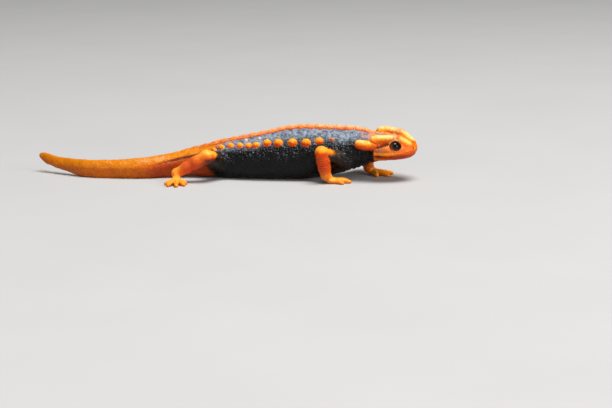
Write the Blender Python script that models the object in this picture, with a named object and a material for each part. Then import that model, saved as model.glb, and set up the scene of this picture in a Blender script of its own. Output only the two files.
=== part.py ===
"""A crocodile newt (Tylototriton), life size, standing on its four feet with its belly and tail on the floor.

The body is one lofted form with raised ridges, glands and rib warts joined to it. It is parted with thin
cuts into head, lower jaw, neck, trunk and three lengths of tail. Each limb is a bent tube with a palm and
digits, parted at the elbow or knee and at the wrist or ankle. The animal looks along +X, and its left is +Y.
"""

import math

import bmesh
import bpy
import numpy as np
from mathutils import Matrix, Vector

MM = 0.001

# ---------------------------------------------------------------- anatomy, in millimetres
# x runs forward along the back, side is to the animal's left, z is the height over the floor.
# A profile is a few knots (x, value) from the tail's tip to the snout, joined by a smooth curve.
TAIL_END = -96.0
SNOUT_END = 41.9
TAIL_ROUND = 4.0  # length over which the tail's tip closes
SNOUT_ROUND = 3.7  # length over which the snout closes
END_BLUNTNESS = 2.3

SPINE_SIDE = ((-96, 5.2), (-86.5, 0.2), (-73, -5.2), (-60, -5.6), (-45, -1.6), (-30, 0.4), (-10, 0.5),
              (20, -0.15), (26, -0.8), (41.9, -3.9))
BACK_HEIGHT = ((-96, 7.8), (-86, 6.25), (-73, 6.45), (-57, 7.5), (-37, 10.2), (-27.4, 12.6), (-14.4, 15.35),
               (-3, 17.9), (2, 18.3), (20, 17.9), (24.5, 17.3), (27.5, 16.3), (36, 15.4), (38.5, 14.5),
               (41.9, 13.3))
BELLY_HEIGHT = ((-96, 4.4), (-92, 2.9), (-84, 1.2), (-76, -0.1), (-46, -0.15), (-40, 0.5), (-29, -0.2),
                (-8, -0.3), (6, 0.6), (19.6, 3.7), (30, 7.4), (36, 7.9), (41.9, 9.0))
WIDEST_HEIGHT = ((-96, 6.2), (-86, 3.6), (-57, 4.0), (-40, 5.4), (8, 9.3), (26, 11.4), (41.9, 11.7))
HALF_WIDTH = ((-96, 0.9), (-57, 2.5), (-44, 3.7), (-14, 9.1), (-2, 9.5), (18, 7.8), (22.5, 6.9), (25.5, 7.2),
              (28.5, 8.6), (31, 8.7), (40, 5.1), (41.9, 4.4))
# Exponents of the cross-section: 2 is an ellipse, less is pointed, more is boxy.
UPPER_FORM = ((-96, 1.6), (-57, 1.55), (-42, 1.8), (-26, 2.5), (-19, 2.15), (0, 1.75), (18, 1.8), (25, 2.1),
              (29, 2.9), (37, 2.7), (41.9, 2.3))
LOWER_FORM = ((-96, 1.6), (-50, 1.7), (-20, 2.4), (20, 2.3), (29, 2.1), (41.9, 2.1))
HEAD_ROLL = ((-96, 0.0), (17, 0.0), (27, 5.0), (41.9, 5.0))  # degrees, the crown towards the right


def smooth_curve(knots, x):
    """Value at x of the monotone cubic curve through the knots."""
    at, value = np.array(knots, float).T
    step = np.diff(at)
    slope = np.diff(value) / step
    tangent = np.concatenate([slope[:1], np.zeros(len(at) - 2), slope[-1:]])
    product = slope[1:] * slope[:-1]
    rising = product > 0
    tangent[1:-1][rising] = 2 * product[rising] / (slope[1:] + slope[:-1])[rising]
    i = np.clip(np.searchsorted(at, x, side="right") - 1, 0, len(step) - 1)
    t = np.clip((x - at[i]) / step[i], 0, 1)
    return (value[i] * (1 + 2 * t) * (1 - t) ** 2 + value[i + 1] * t * t * (3 - 2 * t)
            + step[i] * t * (1 - t) * (tangent[i] * (1 - t) - tangent[i + 1] * t))


def spine_frame(x):
    """Centre of the body's section at x, and the directions forward, left and up of its plane."""
    x = np.asarray(x, float)
    centre = np.stack([x, smooth_curve(SPINE_SIDE, x), smooth_curve(WIDEST_HEIGHT, x)], -1)
    bend = (smooth_curve(SPINE_SIDE, x + 0.5) - smooth_curve(SPINE_SIDE, x - 0.5))
    forward = np.stack([np.ones_like(x), bend, np.zeros_like(x)], -1)
    forward /= np.linalg.norm(forward, axis=-1, keepdims=True)
    level = np.stack([-forward[..., 1], forward[..., 0], np.zeros_like(x)], -1)
    roll = np.radians(smooth_curve(HEAD_ROLL, x))[..., None]
    vertical = np.array([0.0, 0.0, 1.0])
    left = level * np.cos(roll) + vertical * np.sin(roll)
    up = vertical * np.cos(roll) - level * np.sin(roll)
    return centre, forward, left, up


def on_body(x, side, z):
    """The point at station x, side to the left of the spine, at height z before the head's roll."""
    centre, _, left, up = spine_frame(x)
    return centre + side * left + (z - centre[..., 2]) * up


def section_sizes(x):
    """Half width, rise to the back, drop to the belly, and the two exponents of the section at x."""
    widest = smooth_curve(WIDEST_HEIGHT, x)
    return (smooth_curve(HALF_WIDTH, x), smooth_curve(BACK_HEIGHT, x) - widest,
            widest - smooth_curve(BELLY_HEIGHT, x), smooth_curve(UPPER_FORM, x), smooth_curve(LOWER_FORM, x))


# Raised forms of the head and back, as rows of (x, side, z, radius); side is given for the left.
HEAD_RIDGE = ((27.7, 6.6, 15.95, 1.4), (30.7, 6.3, 16.2, 1.4), (33.4, 5.3, 16.1, 1.3), (36, 4.2, 15.7, 1.2),
              (38.4, 3.2, 14.7, 1.05), (39.9, 2.6, 13.8, 0.9))
PAROTOID = ((21.6, 7.4, 14.0, 1.35), (24.1, 7.6, 14.0, 1.6), (26.6, 7.5, 14.1, 1.45), (28.8, 7.3, 14.0, 0.9))
SPINE_RIDGE_FRONT = 32.5  # it ends between the ridges of the head
SPINE_RIDGE_BACK = -50.0
SPINE_RIDGE_RADIUS = ((-50, 0.25), (-42, 0.7), (-30, 0.95), (-10, 1.0), (15, 1.05), (24, 0.85), (27, 0.65),
                      (29.5, 0.8), (32.5, 0.5))
SPINE_RIDGE_LIFT = 0.15  # of its radius, how far the ridge's centre line lies over the back's own line
KNOB_SPACING = 3.45  # one knob of the ridge for each vertebra
KNOB_HEIGHT = 0.1

# One rib wart for each rib, where the back turns into the flank: (x, side as a share of the half width, radius).
RIB_WARTS = ((12.0, 0.73, 0.7), (7.5, 0.755, 1.3), (2.8, 0.785, 1.5), (-2.1, 0.765, 1.5), (-7.2, 0.74, 1.45),
             (-11.3, 0.70, 1.35), (-15.25, 0.74, 1.2), (-18.0, 0.735, 1.05), (-21.1, 0.70, 1.05),
             (-24.5, 0.675, 1.1), (-27.9, 0.69, 1.05), (-30.6, 0.73, 0.9))
WART_LENGTHS = (1.0, 0.8, 1.0)  # along the body, out from it and up, as shares of the radius

EYE_X = 35.0
EYE_SIDE = 5.1
EYE_HEIGHT = 13.45
EYE_RADIUS = 2.1

MOUTH_HEIGHT = ((26, 10.6), (30, 10.5), (36, 10.25), (41.9, 10.4))
MOUTH_CORNER_X = 28.4

# Each limb: its joints from root to wrist or ankle, the radii at mid-lengths and joints, and its digits.
ARM_RADII = (2.5, 1.95, 2.2, 2.25, 1.85)
LEG_RADII = (3.3, 2.5, 2.3, 2.15, 1.7)
FINGER_REACH = (5.2, 7.2, 7.2, 5.6)
TOE_REACH = (4.6, 6.3, 7.3, 6.8, 5.0)
DIGIT_RADII = (1.15, 0.88, 0.82, 0.68)  # palm, knuckle, middle joint and tip
PALM_REACH = 2.0  # from the wrist to the middle of the palm
PALM_HEIGHT = 1.1
PALM_RADIUS = 1.75
DIGIT_ARCH = 0.35  # how far a digit's middle joint stands over its ends
DIGIT_BEND_SHARE = 0.6  # of the reach, where the middle joint is
DIGIT_FLATTENED = 0.12  # how far a digit's tip is pressed on the floor
KNUCKLE_LIFT = 0.1
LIMBS = {
    "right_arm": dict(joints=((16.8, -5.6, 7.3), (8.5, -12.2, 11.3), (9.9, -10.6, 3.1)),
                      radii=ARM_RADII, reach=FINGER_REACH, heading=17, spread=(-44, -14, 17, 50)),
    "left_arm": dict(joints=((17.0, 5.6, 7.3), (22.8, 13.6, 8.2), (24.4, 8.0, 2.7)),
                     radii=ARM_RADII, reach=FINGER_REACH, heading=-12, spread=(52, 16, -24, -62)),
    "right_leg": dict(joints=((-28.2, -5.0, 6.4), (-32.1, -12.6, 9.5), (-43.0, -12.4, 3.4)),
                      radii=LEG_RADII, reach=TOE_REACH, heading=-84, spread=(58, 30, 2, -26, -54)),
    "left_leg": dict(joints=((-28.4, 5.8, 6.6), (-30.4, 13.4, 8.8), (-24.6, 15.0, 3.4)),
                     radii=LEG_RADII, reach=TOE_REACH, heading=48, spread=(-56, -28, 0, 28, 56)),
}


def limb_line(limb):
    """Points and radii along a limb, with one between each pair of joints."""
    root, bend, end = (np.array(joint, float) for joint in limb["joints"])
    return [root, (root + bend) / 2, bend, (bend + end) / 2, end], list(limb["radii"])


def palm_centre(limb):
    """Middle of the hand or foot, in front of the wrist or ankle."""
    end = np.array(limb["joints"][2], float)
    heading = math.radians(limb["heading"])
    middle = end + PALM_REACH * np.array([math.cos(heading), math.sin(heading), 0.0])
    return np.array([middle[0], middle[1], PALM_HEIGHT])


def digit_lines(limb):
    """Points and radii along each finger or toe, from the palm to the tip."""
    lines = []
    middle = palm_centre(limb)
    for spread, reach in zip(limb["spread"], limb["reach"]):
        angle = math.radians(limb["heading"] + spread)
        out = np.array([math.cos(angle), math.sin(angle), 0.0])
        tip_height = DIGIT_RADII[-1] - DIGIT_FLATTENED
        knuckle = middle + out * PALM_RADIUS
        knuckle[2] = DIGIT_RADII[1] + KNUCKLE_LIFT
        bend = middle + out * (DIGIT_BEND_SHARE * reach)
        bend[2] = tip_height + DIGIT_ARCH
        tip = middle + out * (reach - DIGIT_RADII[-1])
        tip[2] = tip_height
        lines.append(([middle, knuckle, bend, tip], list(DIGIT_RADII)))
    return lines


def wart_place(x, share, sign):
    """Centre of a rib wart on the body's surface."""
    width, rise, _, form, _ = section_sizes(np.float64(x))
    height = smooth_curve(WIDEST_HEIGHT, np.float64(x)) + rise * (1 - share ** form) ** (1 / form)
    return on_body(np.float64(x), sign * share * width, height)


# ---------------------------------------------------------------- parts and facets

GAP = 0.3  # between two pieces that touch
MERGE_DISTANCES = (0.03, 0.02, 0.01, 0.005, 0.002)

# Fineness of the facets
BODY_SEGMENTS = 20
RING_STEPS = ((-40.0, 3.0), (22.0, 2.6), (SNOUT_END, 1.6))  # up to a station, how far apart the rings are
END_SHARES = (0.5, 0.78, 0.92, 0.99)  # rings that round off the snout and the tail's tip
DOME_ANGLES = (math.radians(50),)  # rings that round off a tube's end
LIMB_SIDES, LIMB_RINGS = 10, 5
LINK_SIDES, LINK_RINGS = 8, 2
DIGIT_SIDES, DIGIT_RINGS = 5, 4
RIDGE_SIDES, RINGS_PER_KNOB = 6, 2
HEAD_RIDGE_SIDES, HEAD_RIDGE_RINGS = 7, 8
PAROTOID_SIDES, PAROTOID_RINGS = 8, 5
WART_SEGMENTS, WART_RINGS = 7, 4
EYE_SEGMENTS, EYE_RINGS = 13, 8
PALM_SEGMENTS, PALM_RINGS = 9, 5
MOUTH_RINGS = 6
SHARP_ANGLE = math.radians(50)

PALM_SHAPE = (1.15, 1.25)  # the palm's half length and half width, as shares of its radius
PALM_SWELL = 0.12  # the palm's half height beyond its own height over the floor

# Where the body is parted, as stations along x
BODY_PARTS = (("tail_tip", None, -76.0), ("tail_middle", -76.0, -55.0), ("tail_base", -55.0, -34.5),
              ("trunk", -34.5, 17.5), ("neck", 17.5, 23.8), ("head", 23.8, None))
WRIST_SHARE = 0.8  # of the way from elbow to wrist, or from knee to ankle
JAW_BACK_FOOT = (27.1, 3.0)  # x and z of the lower end of the cut behind the jaw
MOUTH_CUT_FRONT = SNOUT_END + 3.0
MOUTH_CUT_SIDE = 14.0

LIMB_NODES = {
    "arm": (("upper_arm", "black"), ("forearm", "orange"), ("hand", "orange")),
    "leg": (("thigh", "orange"), ("shank", "orange"), ("foot", "orange")),
}
COLOURS = {
    "orange": ((0.80, 0.25, 0.02), 0.45),
    "black": ((0.018, 0.017, 0.017), 0.5),
    "eye": ((0.008, 0.006, 0.005), 0.08),
}



# ---------------------------------------------------------------- meshes from rows of points

def new_object(name, points, faces):
    """An object from points in millimetres."""
    mesh = bpy.data.meshes.new(name)
    mesh.from_pydata([Vector(point) * MM for point in points], [], faces)
    mesh.validate()
    obj = bpy.data.objects.new(name, mesh)
    bpy.context.scene.collection.objects.link(obj)
    return obj


def closed_loft(name, rings, first_pole, last_pole):
    """A closed mesh through rings of points, with a pole at each end."""
    count = len(rings[0])
    points = [point for ring in rings for point in ring] + [first_pole, last_pole]
    first, last = len(points) - 2, len(points) - 1
    faces = []
    for i in range(count):
        j = (i + 1) % count
        faces.append((first, j, i))
        faces.append((last, (len(rings) - 1) * count + i, (len(rings) - 1) * count + j))
        for k in range(len(rings) - 1):
            a, b = k * count, (k + 1) * count
            faces.append((a + i, a + j, b + j, b + i))
    obj = new_object(name, points, faces)
    outward(obj)
    return obj


def outward(obj):
    """Turns the faces of a closed mesh to the outside."""
    bm = bmesh.new()
    bm.from_mesh(obj.data)
    bmesh.ops.recalc_face_normals(bm, faces=bm.faces)
    bm.to_mesh(obj.data)
    bm.free()


def section_ring(x, scale, grow=0.0):
    """Points round the body's cross-section at x."""
    centre, _, left, up = spine_frame(x)
    width, rise, drop, upper, lower = section_sizes(x)
    ring = []
    for i in range(BODY_SEGMENTS):
        angle = 2 * math.pi * (i + 0.5) / BODY_SEGMENTS
        across, along_up = math.cos(angle), math.sin(angle)
        form, reach = (upper, rise) if along_up > 0 else (lower, drop)
        side = math.copysign(abs(across) ** (2 / form), across) * (width * scale + grow)
        height = math.copysign(abs(along_up) ** (2 / form), along_up) * (reach * scale + grow)
        ring.append(centre + side * left + height * up)
    return ring


def body_form(name, grow=0.0):
    """The whole body without its raised forms, from the tail's tip to the snout."""
    def closing(share):
        return (1 - share ** END_BLUNTNESS) ** (1 / END_BLUNTNESS)

    tail = [(TAIL_END + TAIL_ROUND * (1 - share), closing(share)) for share in reversed(END_SHARES)]
    snout = [(SNOUT_END - SNOUT_ROUND * (1 - share), closing(share)) for share in END_SHARES]
    between = []
    x = TAIL_END + TAIL_ROUND
    while x < SNOUT_END - SNOUT_ROUND:
        between.append((x, 1.0))
        x += next(step for limit, step in RING_STEPS if x < limit)
    rings = [section_ring(np.float64(x), scale, grow) for x, scale in tail + between + snout]
    first_pole = spine_frame(np.float64(TAIL_END - grow))[0]
    last_pole = spine_frame(np.float64(SNOUT_END + grow))[0]
    return closed_loft(name, rings, first_pole, last_pole)


def smooth_row(points, radii, count):
    """A Catmull-Rom curve through the points, with the radii carried along."""
    rows = np.array([[*point, radius] for point, radius in zip(points, radii)], float)
    rows = np.vstack([2 * rows[0] - rows[1], rows, 2 * rows[-1] - rows[-2]])
    rows[[0, -1], 3] = rows[[1, -2], 3]
    result = []
    for at in np.linspace(0, len(points) - 1, count):
        k = min(int(at), len(points) - 2)
        t = at - k
        a, b, c, d = rows[k:k + 4]
        result.append(0.5 * (2 * b + (c - a) * t + (2 * a - 5 * b + 4 * c - d) * t * t
                             + (3 * b - a - 3 * c + d) * t ** 3))
    return result


def tube(name, points, radii, sides, count, grow=0.0):
    """A round tube of changing radius with domed ends."""
    rows = smooth_row(points, radii, count)
    centres = [Vector(row[:3]) for row in rows]
    sizes = [float(row[3]) + grow for row in rows]
    forward = [(centres[min(i + 1, count - 1)] - centres[max(i - 1, 0)]).normalized() for i in range(count)]
    across = forward[0].orthogonal().normalized()
    rings = []
    for i in range(count):
        across = (across - across.dot(forward[i]) * forward[i]).normalized()
        other = forward[i].cross(across)
        rings.append((centres[i], across.copy(), other, sizes[i]))

    def circle(centre, u, v, radius):
        turn = 2 * math.pi / sides
        return [centre + radius * (math.cos(turn * k) * u + math.sin(turn * k) * v) for k in range(sides)]

    def dome(end, sign):
        centre, u, v, radius = rings[end]
        ahead = forward[end] * sign
        return [circle(centre + ahead * radius * math.sin(a), u, v, radius * math.cos(a))
                for a in DOME_ANGLES], centre + ahead * radius

    front, last_pole = dome(count - 1, 1)
    rear, first_pole = dome(0, -1)
    return closed_loft(name, rear[::-1] + [circle(*ring) for ring in rings] + front, first_pole, last_pole)


def ball(name, centre, radii, segments, rings, turn=0.0):
    """An ellipsoid with its poles up and down, turned about the vertical."""
    bm = bmesh.new()
    bmesh.ops.create_uvsphere(bm, u_segments=segments, v_segments=rings, radius=1.0)
    place = Matrix.Translation(Vector(centre) * MM) @ Matrix.Rotation(turn, 4, "Z")
    size = Matrix.Diagonal((*(radius * MM for radius in radii), 1.0))
    bmesh.ops.transform(bm, matrix=place @ size, verts=bm.verts)
    mesh = bpy.data.meshes.new(name)
    bm.to_mesh(mesh)
    bm.free()
    obj = bpy.data.objects.new(name, mesh)
    bpy.context.scene.collection.objects.link(obj)
    return obj


# ---------------------------------------------------------------- joining and parting

def boolean(obj, operation, others):
    """Joins the others to obj or cuts them from it, and removes them."""
    for other in others:
        modifier = obj.modifiers.new(operation, "BOOLEAN")
        modifier.operation = operation
        modifier.object = other
        modifier.solver = "EXACT"
    graph = bpy.context.evaluated_depsgraph_get()
    result = bpy.data.meshes.new_from_object(obj.evaluated_get(graph))
    obj.modifiers.clear()
    obj.data = result
    for other in others:
        bpy.data.objects.remove(other)


def copy_of(obj, name):
    copy = bpy.data.objects.new(name, obj.data.copy())
    bpy.context.scene.collection.objects.link(copy)
    return copy


def keep_side(obj, point, direction):
    """Cuts a closed object at a plane, keeps the side that direction points to, and closes the cut."""
    bm = bmesh.new()
    bm.from_mesh(obj.data)
    cut = bmesh.ops.bisect_plane(
        bm, geom=[*bm.verts, *bm.edges, *bm.faces], dist=1e-7,
        plane_co=Vector(point) * MM, plane_no=-Vector(direction), clear_outer=True)
    rim = [piece for piece in cut["geom_cut"] if isinstance(piece, bmesh.types.BMEdge) and piece.is_boundary]
    bmesh.ops.holes_fill(bm, edges=rim, sides=0)
    bmesh.ops.recalc_face_normals(bm, faces=bm.faces)
    bm.to_mesh(obj.data)
    bm.free()


def loose_parts(obj):
    """Splits an object into its separate bodies, the one with the lowest top first."""
    bm = bmesh.new()
    bm.from_mesh(obj.data)
    unseen = set(bm.verts)
    groups = []
    while unseen:
        group = set()
        reached = [next(iter(unseen))]
        while reached:
            vert = reached.pop()
            if vert not in group:
                group.add(vert)
                reached += [edge.other_vert(vert) for edge in vert.link_edges]
        unseen -= group
        groups.append({vert.index for vert in group})
    bm.free()
    groups.sort(key=lambda group: max(obj.data.vertices[i].co.z for i in group))
    parts = []
    for group in groups:
        part = copy_of(obj, obj.name)
        bm = bmesh.new()
        bm.from_mesh(part.data)
        bmesh.ops.delete(bm, geom=[vert for vert in bm.verts if vert.index not in group], context="VERTS")
        bm.to_mesh(part.data)
        bm.free()
        parts.append(part)
    bpy.data.objects.remove(obj)
    return parts


# ---------------------------------------------------------------- the body

def raised_tube(name, row, sign, sides, count):
    """A ridge or gland of the left or right side, from a row of (x, side, z, radius)."""
    points = [on_body(np.float64(x), sign * side, z) for x, side, z, _ in row]
    return tube(name, points, [entry[3] for entry in row], sides, count)


def spine_ridge():
    """The ridge along the middle of the back, with a knob for each vertebra."""
    count = int((SPINE_RIDGE_FRONT - SPINE_RIDGE_BACK) / KNOB_SPACING * RINGS_PER_KNOB) + 1
    points, radii = [], []
    for x in np.linspace(SPINE_RIDGE_BACK, SPINE_RIDGE_FRONT, count):
        radius = smooth_curve(SPINE_RIDGE_RADIUS, x)
        knob = KNOB_HEIGHT * math.cos(2 * math.pi * x / KNOB_SPACING) * radius
        height = smooth_curve(BACK_HEIGHT, x) + SPINE_RIDGE_LIFT * radius
        points.append(on_body(x, 0.0, height))
        radii.append(radius + knob)
    return tube("ridge", points, radii, RIDGE_SIDES, count)


def rib_warts():
    """The row of round warts along each side of the back."""
    warts = []
    for sign in (-1, 1):
        for x, share, radius in RIB_WARTS:
            radii = [length * radius for length in WART_LENGTHS]
            warts.append(ball("wart", wart_place(x, share, sign), radii, WART_SEGMENTS, WART_RINGS))
    return warts


def whole_body():
    """The body with everything that stands up from it, flat where it lies on the floor."""
    body = body_form("body")
    raised = [spine_ridge()]
    for sign in (-1, 1):
        raised.append(raised_tube("head_ridge", HEAD_RIDGE, sign, HEAD_RIDGE_SIDES, HEAD_RIDGE_RINGS))
        raised.append(raised_tube("parotoid", PAROTOID, sign, PAROTOID_SIDES, PAROTOID_RINGS))
    boolean(body, "UNION", raised + rib_warts())
    keep_side(body, (0, 0, 0), (0, 0, 1))
    return body


def part_body(body):
    """Parts the body across its length, with half a gap on each side of a cut."""
    parts = {}
    for name, back, front in BODY_PARTS:
        part = copy_of(body, name)
        for station, sign in ((back, 1), (front, -1)):
            if station is not None:
                centre, forward, _, _ = spine_frame(np.float64(station))
                keep_side(part, centre + sign * GAP / 2 * forward, sign * forward)
        parts[name] = part
    bpy.data.objects.remove(body)
    return parts


def mouth_cutter():
    """A thin bent plate along the mouth and down behind the jaw."""
    line = [JAW_BACK_FOOT]
    for x in np.linspace(MOUTH_CORNER_X, MOUTH_CUT_FRONT, MOUTH_RINGS):
        line.append((x, float(smooth_curve(MOUTH_HEIGHT, x))))
    points, faces = [], []
    for side in (-MOUTH_CUT_SIDE, MOUTH_CUT_SIDE):
        for offset in (-GAP / 2, GAP / 2):
            for k, (x, z) in enumerate(line):
                back = -offset if k < 2 else 0
                over = offset if k > 0 else 0
                station = np.float64(min(x, SNOUT_END))
                centre, forward, left, up = spine_frame(station)
                level = centre + (x + back - station) * forward + side * left
                points.append(level + (z + over - centre[2]) * up)
    count = len(line)

    def at(side, layer, k):
        return (side * 2 + layer) * count + k

    for k in range(count - 1):
        for i in (0, 1):
            faces.append((at(0, i, k), at(0, i, k + 1), at(1, i, k + 1), at(1, i, k)))
            faces.append((at(i, 0, k), at(i, 0, k + 1), at(i, 1, k + 1), at(i, 1, k)))
    faces += [(at(0, 0, k), at(0, 1, k), at(1, 1, k), at(1, 0, k)) for k in (0, count - 1)]
    cutter = new_object("mouth_cutter", points, faces)
    outward(cutter)
    return cutter


def eye_ball(name, sign, grow=0.0):
    centre = on_body(np.float64(EYE_X), sign * EYE_SIDE, EYE_HEIGHT)
    return ball(name, centre, [EYE_RADIUS + grow] * 3, EYE_SEGMENTS, EYE_RINGS)


def part_head(head):
    """Takes the lower jaw off the head, and cuts the eyes' sockets."""
    boolean(head, "DIFFERENCE", [mouth_cutter()])
    jaw, skull = loose_parts(head)
    boolean(skull, "DIFFERENCE", [eye_ball("socket", sign, GAP) for sign in (-1, 1)])
    return skull, jaw, {"right": eye_ball("eye_right", -1), "left": eye_ball("eye_left", 1)}


# ---------------------------------------------------------------- the limbs

def palm(limb):
    long, wide = (share * PALM_RADIUS for share in PALM_SHAPE)
    radii = (long, wide, PALM_HEIGHT + PALM_SWELL)
    return ball("palm", palm_centre(limb), radii, PALM_SEGMENTS, PALM_RINGS, math.radians(limb["heading"]))


def limb_parts(name, limb):
    """The upper length, the lower length and the hand or foot of one limb."""
    points, radii = limb_line(limb)
    root, bend, end = (np.array(joint, float) for joint in limb["joints"])
    inward, outward_way = bend - root, end - bend
    inward, outward_way = inward / np.linalg.norm(inward), outward_way / np.linalg.norm(outward_way)
    hinge_plane = inward + outward_way
    hinge_plane /= np.linalg.norm(hinge_plane)
    wrist = bend + WRIST_SHARE * (end - bend)

    def lower_length(grow=0.0):
        return tube(name, points[2:], radii[2:], LIMB_SIDES, LIMB_RINGS, grow)

    upper = tube(name, points[:3], radii[:3], LIMB_SIDES, LIMB_RINGS)
    keep_side(upper, bend - GAP / 2 * hinge_plane, -hinge_plane)
    boolean(upper, "DIFFERENCE", [body_form("body_cutter", GAP)])
    lower = lower_length()
    keep_side(lower, bend + GAP / 2 * hinge_plane, hinge_plane)
    keep_side(lower, wrist - GAP / 2 * outward_way, -outward_way)
    hand = lower_length()
    keep_side(hand, wrist + GAP / 2 * outward_way, outward_way)
    link = tube("link", [end, palm_centre(limb)], [radii[-1], PALM_HEIGHT], LINK_SIDES, LINK_RINGS)
    digits = [tube("digit", *line, DIGIT_SIDES, DIGIT_RINGS) for line in digit_lines(limb)]
    boolean(hand, "UNION", [link, palm(limb)] + digits)
    arm_cutter = lower_length(GAP)
    keep_side(arm_cutter, wrist + GAP / 2 * outward_way, -outward_way)
    boolean(hand, "DIFFERENCE", [arm_cutter])
    keep_side(hand, (0, 0, 0), (0, 0, 1))
    return upper, lower, hand


# ---------------------------------------------------------------- finish and assembly

def without_slivers(obj):
    """Merges points that lie almost on one another, as far as the surface stays closed, in triangles."""
    for distance in MERGE_DISTANCES:
        bm = bmesh.new()
        bm.from_mesh(obj.data)
        bmesh.ops.remove_doubles(bm, verts=bm.verts, dist=distance * MM)
        bmesh.ops.dissolve_degenerate(bm, edges=bm.edges, dist=distance * MM)
        bmesh.ops.triangulate(bm, faces=bm.faces)
        closed = all(edge.is_manifold for edge in bm.edges)
        if closed:
            bm.to_mesh(obj.data)
        bm.free()
        if closed:
            return


def painted(obj, name, colour):
    """Names the object, gives it a material of its own and shades it smooth."""
    without_slivers(obj)
    obj.name = obj.data.name = name
    material = bpy.data.materials.new(name)
    material.use_nodes = True
    surface = material.node_tree.nodes["Principled BSDF"]
    rgb, roughness = COLOURS[colour]
    surface.inputs["Base Color"].default_value = (*rgb, 1.0)
    surface.inputs["Roughness"].default_value = roughness
    surface.inputs["Metallic"].default_value = 0.0
    obj.data.materials.clear()
    obj.data.materials.append(material)
    obj.data.shade_smooth()
    obj.data.set_sharp_from_angle(angle=SHARP_ANGLE)


def stand_on_origin(objects):
    """Moves everything so that the origin is under the middle of its box, on the floor."""
    corners = np.array([vertex.co for obj in objects for vertex in obj.data.vertices])
    middle = (corners.min(0) + corners.max(0)) / 2
    shift = Matrix.Translation((-middle[0], -middle[1], -corners[:, 2].min()))
    for obj in objects:
        obj.data.transform(shift)


def build_newt():
    """Builds every solid, names it and gives it its colour."""
    for obj in list(bpy.data.objects):
        bpy.data.objects.remove(obj)
    parts = part_body(whole_body())
    skull, jaw, eyes = part_head(parts.pop("head"))
    finished = [(skull, "head", "orange"), (jaw, "lower_jaw", "orange")]
    finished += [(eye, "eye_" + side, "eye") for side, eye in eyes.items()]
    for name, part in parts.items():
        finished.append((part, name, "orange" if name.startswith("tail") else "black"))
    for limb_name, limb in LIMBS.items():
        side, kind = limb_name.split("_")
        for obj, (name, colour) in zip(limb_parts(limb_name, limb), LIMB_NODES[kind]):
            finished.append((obj, f"{side}_{name}", colour))
    for obj, name, colour in finished:
        painted(obj, name, colour)
    stand_on_origin([obj for obj, _, _ in finished])


build_newt()
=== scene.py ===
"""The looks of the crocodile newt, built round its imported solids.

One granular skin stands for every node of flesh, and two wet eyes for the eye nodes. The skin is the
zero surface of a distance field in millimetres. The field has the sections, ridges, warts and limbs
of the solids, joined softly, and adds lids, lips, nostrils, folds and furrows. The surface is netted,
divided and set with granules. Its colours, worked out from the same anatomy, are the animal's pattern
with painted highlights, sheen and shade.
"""

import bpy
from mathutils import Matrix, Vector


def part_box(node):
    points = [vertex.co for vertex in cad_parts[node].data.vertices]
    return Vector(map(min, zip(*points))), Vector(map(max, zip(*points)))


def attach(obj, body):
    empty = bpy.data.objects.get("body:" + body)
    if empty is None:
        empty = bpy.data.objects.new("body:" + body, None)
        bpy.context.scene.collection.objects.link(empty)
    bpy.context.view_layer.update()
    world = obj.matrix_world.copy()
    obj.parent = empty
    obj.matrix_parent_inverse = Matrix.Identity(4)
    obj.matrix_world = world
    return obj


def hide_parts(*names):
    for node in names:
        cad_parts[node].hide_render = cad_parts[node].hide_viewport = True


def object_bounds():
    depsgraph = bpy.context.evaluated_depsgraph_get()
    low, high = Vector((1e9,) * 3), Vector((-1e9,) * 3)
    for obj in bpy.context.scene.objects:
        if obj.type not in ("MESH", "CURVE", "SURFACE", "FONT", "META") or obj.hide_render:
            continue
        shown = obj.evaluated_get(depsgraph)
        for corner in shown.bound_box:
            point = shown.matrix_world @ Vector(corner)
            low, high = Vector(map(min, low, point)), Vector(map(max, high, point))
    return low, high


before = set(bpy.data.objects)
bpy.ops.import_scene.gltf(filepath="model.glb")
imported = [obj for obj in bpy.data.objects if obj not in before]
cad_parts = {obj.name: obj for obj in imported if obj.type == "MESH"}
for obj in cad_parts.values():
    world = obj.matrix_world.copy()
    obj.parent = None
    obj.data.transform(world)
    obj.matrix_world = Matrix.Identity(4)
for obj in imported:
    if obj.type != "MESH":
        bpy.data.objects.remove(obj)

import copy
import math

import bpy
import numpy as np
from mathutils import Vector

MM = 0.001
CAD_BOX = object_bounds()
EYE_NODES = {"eye_right": -1, "eye_left": 1}  # 1 on the animal's left, -1 on its right

# ---- anatomy, in millimetres
# x runs forward along the back, side is to the animal's left, z is the height over the floor.
# A profile is a few knots (x, value) from the tail's tip to the snout, joined by a smooth curve.
TAIL_END = -96.0
SNOUT_END = 41.9
TAIL_ROUND = 4.0  # length over which the tail's tip closes
SNOUT_ROUND = 3.7  # length over which the snout closes
END_BLUNTNESS = 2.3

SPINE_SIDE = ((-96, 5.2), (-86.5, 0.2), (-73, -5.2), (-60, -5.6), (-45, -1.6), (-30, 0.4), (-10, 0.5),
              (20, -0.15), (26, -0.8), (41.9, -3.9))
BACK_HEIGHT = ((-96, 7.8), (-86, 6.25), (-73, 6.45), (-57, 7.5), (-37, 10.2), (-27.4, 12.6), (-14.4, 15.35),
               (-3, 17.9), (2, 18.3), (20, 17.9), (24.5, 17.3), (27.5, 16.3), (36, 15.4), (38.5, 14.5),
               (41.9, 13.3))
BELLY_HEIGHT = ((-96, 4.4), (-92, 2.9), (-84, 1.2), (-76, -0.1), (-46, -0.15), (-40, 0.5), (-29, -0.2),
                (-8, -0.3), (6, 0.6), (19.6, 3.7), (30, 7.4), (36, 7.9), (41.9, 9.0))
WIDEST_HEIGHT = ((-96, 6.2), (-86, 3.6), (-57, 4.0), (-40, 5.4), (8, 9.3), (26, 11.4), (41.9, 11.7))
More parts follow.
